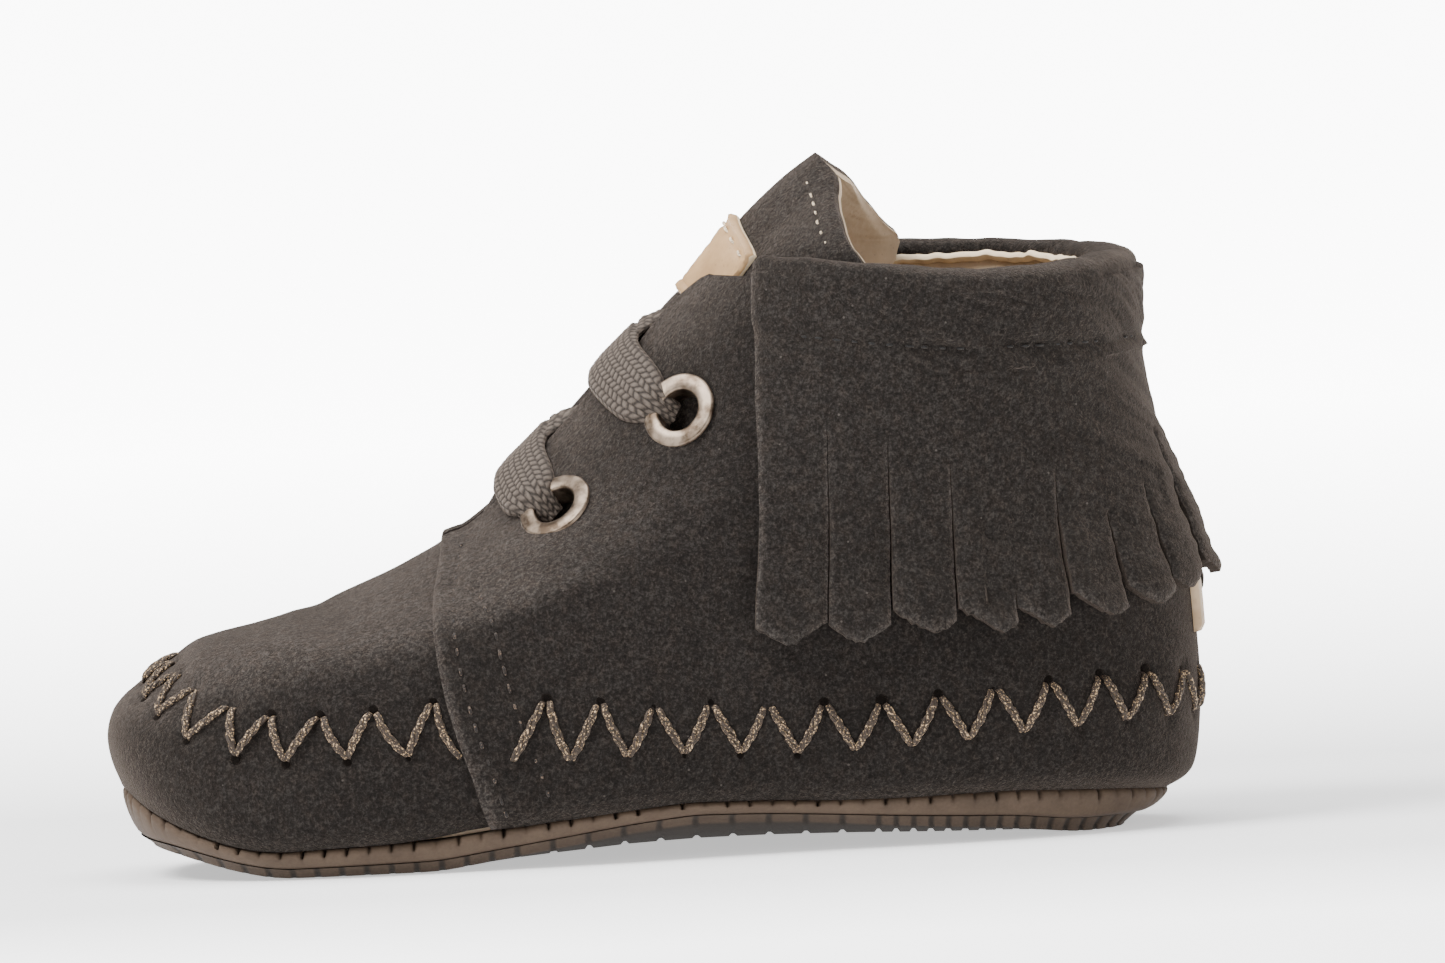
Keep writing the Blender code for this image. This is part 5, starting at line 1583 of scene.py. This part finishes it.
def build_lace(name, ridge_level, near, far):
    """A flat braided lace over the tongue, bunched where it enters its eyelets."""
    count = 330
    ways = np.linspace(-1, 1, count)
    way = np.abs(ways)
    eyelet_level = np.where(ways < 0, near[0], far[0])
    eyelet_angle = np.where(ways < 0, near[1], far[1])
    rows = [sum(np.interp(np.clip(way + shift, 0, 1), LACE_ROWS[:, 0], LACE_ROWS[:, column])
                for shift in (-0.03, -0.015, 0.0, 0.015, 0.03)) / 5 * MM for column in (1, 2, 3, 4)]
    height, below, above, thickness = rows

    def along(w):
        reach = 1 - (1 - LACE_END) * smooth(w, 0.5, 1.0)
        return ridge_level + (eyelet_level - ridge_level) * w ** 1.25, eyelet_angle * w * reach

    level, angle = along(way)
    centre = offset(level, angle, height)
    ahead = surface(*along(way + 0.02))
    run = (ahead - surface(level, angle)) * np.where(ways < 0, -1, 1)[:, None]
    across = unit(np.cross(normal(level, angle), run))
    for _ in range(LACE_ROUNDS):
        across[1:-1] = (across[:-2] + across[1:-1] + across[2:]) / 3
        across = unit(across)
    across *= np.sign(across[count // 2, 2])
    tangent = unit(np.gradient(centre, axis=0))
    up = np.cross(tangent, across)
    up *= np.sign((up[count // 2] * normal(level, angle)[count // 2]).sum())
    up = unit(up)
    length = path_length(centre)
    v = np.linspace(-1, 1, 109)
    place = v * np.where(v > 0, above[:, None], below[:, None])
    gather = smooth(way, 0.66, 0.95)[:, None]
    bead = braid_beads(place, below[:, None], length[:, None])
    body = np.sqrt(np.clip(1 - np.abs(v) ** 6, 0, 1))
    crown = (1 - 0.2 * v ** 2) * (1 - gather) + np.sqrt(np.clip(1 - v ** 2, 0, 1)) * gather
    past = np.clip((place - LACE_HALF) / LACE_HALF, 0, 1)
    doubled = smooth(above, 1.08 * LACE_HALF, 1.4 * LACE_HALF)[:, None]
    crease = 0.0006 * bell(place - LACE_HALF, 0.00035) * doubled
    half = thickness[:, None] / 2 * body * crown * (1 - 0.35 * past)
    relief = 0.00030 * bead * np.clip(body * 1.3, 0, 1) - 0.00016
    pleat = gather * 0.00025 * np.cos(v * math.pi * 2.6 + 0.5)
    cupped = -0.0009 * v ** 2 * smooth(way, 0.35, 0.85)[:, None]
    lip = -0.0003 * np.clip(-v - 0.3, 0, 1) * (1 - smooth(way, 0.2, 0.6))[:, None] - 0.0014 * past * doubled
    middle = centre[:, None] + across[:, None] * place[..., None] + up[:, None] * (lip + cupped)[..., None]
    outer = middle + up[:, None] * (half + relief + pleat - crease)[..., None]
    inner = middle - up[:, None] * (half + relief)[..., None]
    item = sheet_piece(f"lace_{name}", outer, inner, ("braid",) * 3, values={"knot": bead})
    crisp(item, 80)
    add_piece(item, "braid", f"lace_bar_{name}")


def dress_insole():
    """The insole keeps its CAD solid, in lining leather."""
    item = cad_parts["insole"]
    item.data.materials.clear()
    item.data.materials.append(MATERIALS["lining"])
    for slot in item.material_slots:
        slot.material = MATERIALS["lining"]


FLOOR_HALF = 6.0
# The lights: name, place, size and power
LIGHTS = (
    ("key", (-0.52, -0.30, 0.82), 0.45, 16.0),
    ("fill", (0.60, -0.80, 0.35), 0.60, 1.8),
    ("top", (0.05, 0.10, 0.95), 0.80, 11.0),
)


def build_stage():
    """A white floor that runs on behind the shoe and glows, brightest behind it, a little in front and least
    near it, so that it lights the shoe like a lamp; and soft lights.
    """
    n = Nodes("floor_paper", 0.9)
    tone = n.noise(8.0, 2.0)
    n.shader.inputs["Emission Color"].default_value = (1.0, 1.0, 1.0, 1.0)
    apart = n.node("ShaderNodeSeparateXYZ")
    n.link(n.place, apart.inputs["Vector"])
    # The floor glows though it is no lamp: strongest behind the shoe, some in front, least near it
    behind = n.math("MULTIPLY", n.math("SUBTRACT", apart.outputs["Y"], 0.10), 1.4, clamp=True)
    ahead = n.math("MULTIPLY", n.math("SUBTRACT", -0.06, apart.outputs["Y"]), 10.0, clamp=True)
    glow = n.math("ADD", n.math("MULTIPLY", behind, 9.0), n.math("ADD", n.math("MULTIPLY", ahead, 1.6), 0.7))
    n.link(glow, n.shader.inputs["Emission Strength"])
    material = n.finish(n.ramp(tone, ((0.0, (0.93, 0.93, 0.94)), (1.0, (0.95, 0.95, 0.95)))))
    mesh = bpy.data.meshes.new("floor")
    corners = [(FLOOR_HALF * x, FLOOR_HALF * y, 0) for x, y in ((-1, -1), (1, -1), (1, 1), (-1, 1))]
    mesh.from_pydata(corners, [], [(0, 1, 2, 3)])
    mesh.materials.append(material)
    floor = bpy.data.objects.new("floor", mesh)
    floor.location.z = -0.0001
    bpy.context.scene.collection.objects.link(floor)
    world = bpy.data.worlds.new("studio")
    world.use_nodes = True
    sky = world.node_tree.nodes["Background"]
    sky.inputs["Color"].default_value = (1.0, 1.0, 1.0, 1.0)
    sky.inputs["Strength"].default_value = 0.35
    bpy.context.scene.world = world
    for name, place, size, power in LIGHTS:
        data = bpy.data.lights.new(name, "AREA")
        data.size = size
        data.energy = power
        lamp = bpy.data.objects.new(name, data)
        lamp.location = place
        lamp.rotation_euler = (Vector((0, 0, 0.03)) - Vector(place)).to_track_quat("-Z", "Y").to_euler()
        bpy.context.scene.collection.objects.link(lamp)


# The photograph's frame and where it shows the sole's two contacts, in its pixels
PHOTO_WIDTH = 1445
PHOTO_HEIGHT = 963
FOREFOOT_PIXEL = (290.0, 880.0)
HEEL_PIXEL = (1130.0, 835.5)
FOREFOOT_X = 0.0202
FOREFOOT_Y = -BALL_WIDTH / 2 * 0.85
PIXELS_PER_METRE = 8776.0
CAMERA_RISE = math.radians(3.4)
CAMERA_DISTANCE = 4.5
SENSOR_WIDTH = 36.0


def build_camera():
    """A long lens at the photograph's angle, rolled so that the floor rises to the right."""
    roll = math.atan2(FOREFOOT_PIXEL[1] - HEEL_PIXEL[1], HEEL_PIXEL[0] - FOREFOOT_PIXEL[0])
    ahead = Vector((0.0, math.cos(CAMERA_RISE), -math.sin(CAMERA_RISE)))
    level_right = Vector((1.0, 0.0, 0.0))
    level_up = Vector((0.0, math.sin(CAMERA_RISE), math.cos(CAMERA_RISE)))
    right = level_right * math.cos(roll) - level_up * math.sin(roll)
    up = level_right * math.sin(roll) + level_up * math.cos(roll)
    anchor = Vector((FOREFOOT_X + SHIFT[0], FOREFOOT_Y, 0.0))
    dx = (PHOTO_WIDTH / 2 - FOREFOOT_PIXEL[0]) / PIXELS_PER_METRE
    dy = (FOREFOOT_PIXEL[1] - PHOTO_HEIGHT / 2) / PIXELS_PER_METRE
    aim = anchor + right * dx + up * dy
    data = bpy.data.cameras.new("camera")
    camera = bpy.data.objects.new("camera", data)
    camera.location = aim - ahead * CAMERA_DISTANCE
    camera.rotation_euler = Matrix((right, up, -ahead)).transposed().to_euler()
    data.sensor_width = SENSOR_WIDTH
    data.lens = SENSOR_WIDTH * CAMERA_DISTANCE * PIXELS_PER_METRE / PHOTO_WIDTH
    data.clip_end = 20.0
    bpy.context.scene.collection.objects.link(camera)
    bpy.context.scene.camera = camera


make_materials()
build_camera()
build_stage()
build_vamp()
build_quarters()
build_lining()
build_band()
build_tread()
build_tongue()
build_label()
build_cuff()
build_binding()
build_tab()
build_seams()
build_zigzag()
EYELETS = eyelet_spots()
for eyelet_name, eyelet_place in EYELETS.items():
    build_eyelet(eyelet_name, *eyelet_place)
for bar_name, bar_ridge in LACE_RIDGES.items():
    build_lace(bar_name, bar_ridge, EYELETS[f"{bar_name}_in"], EYELETS[f"{bar_name}_out"])
dress_insole()
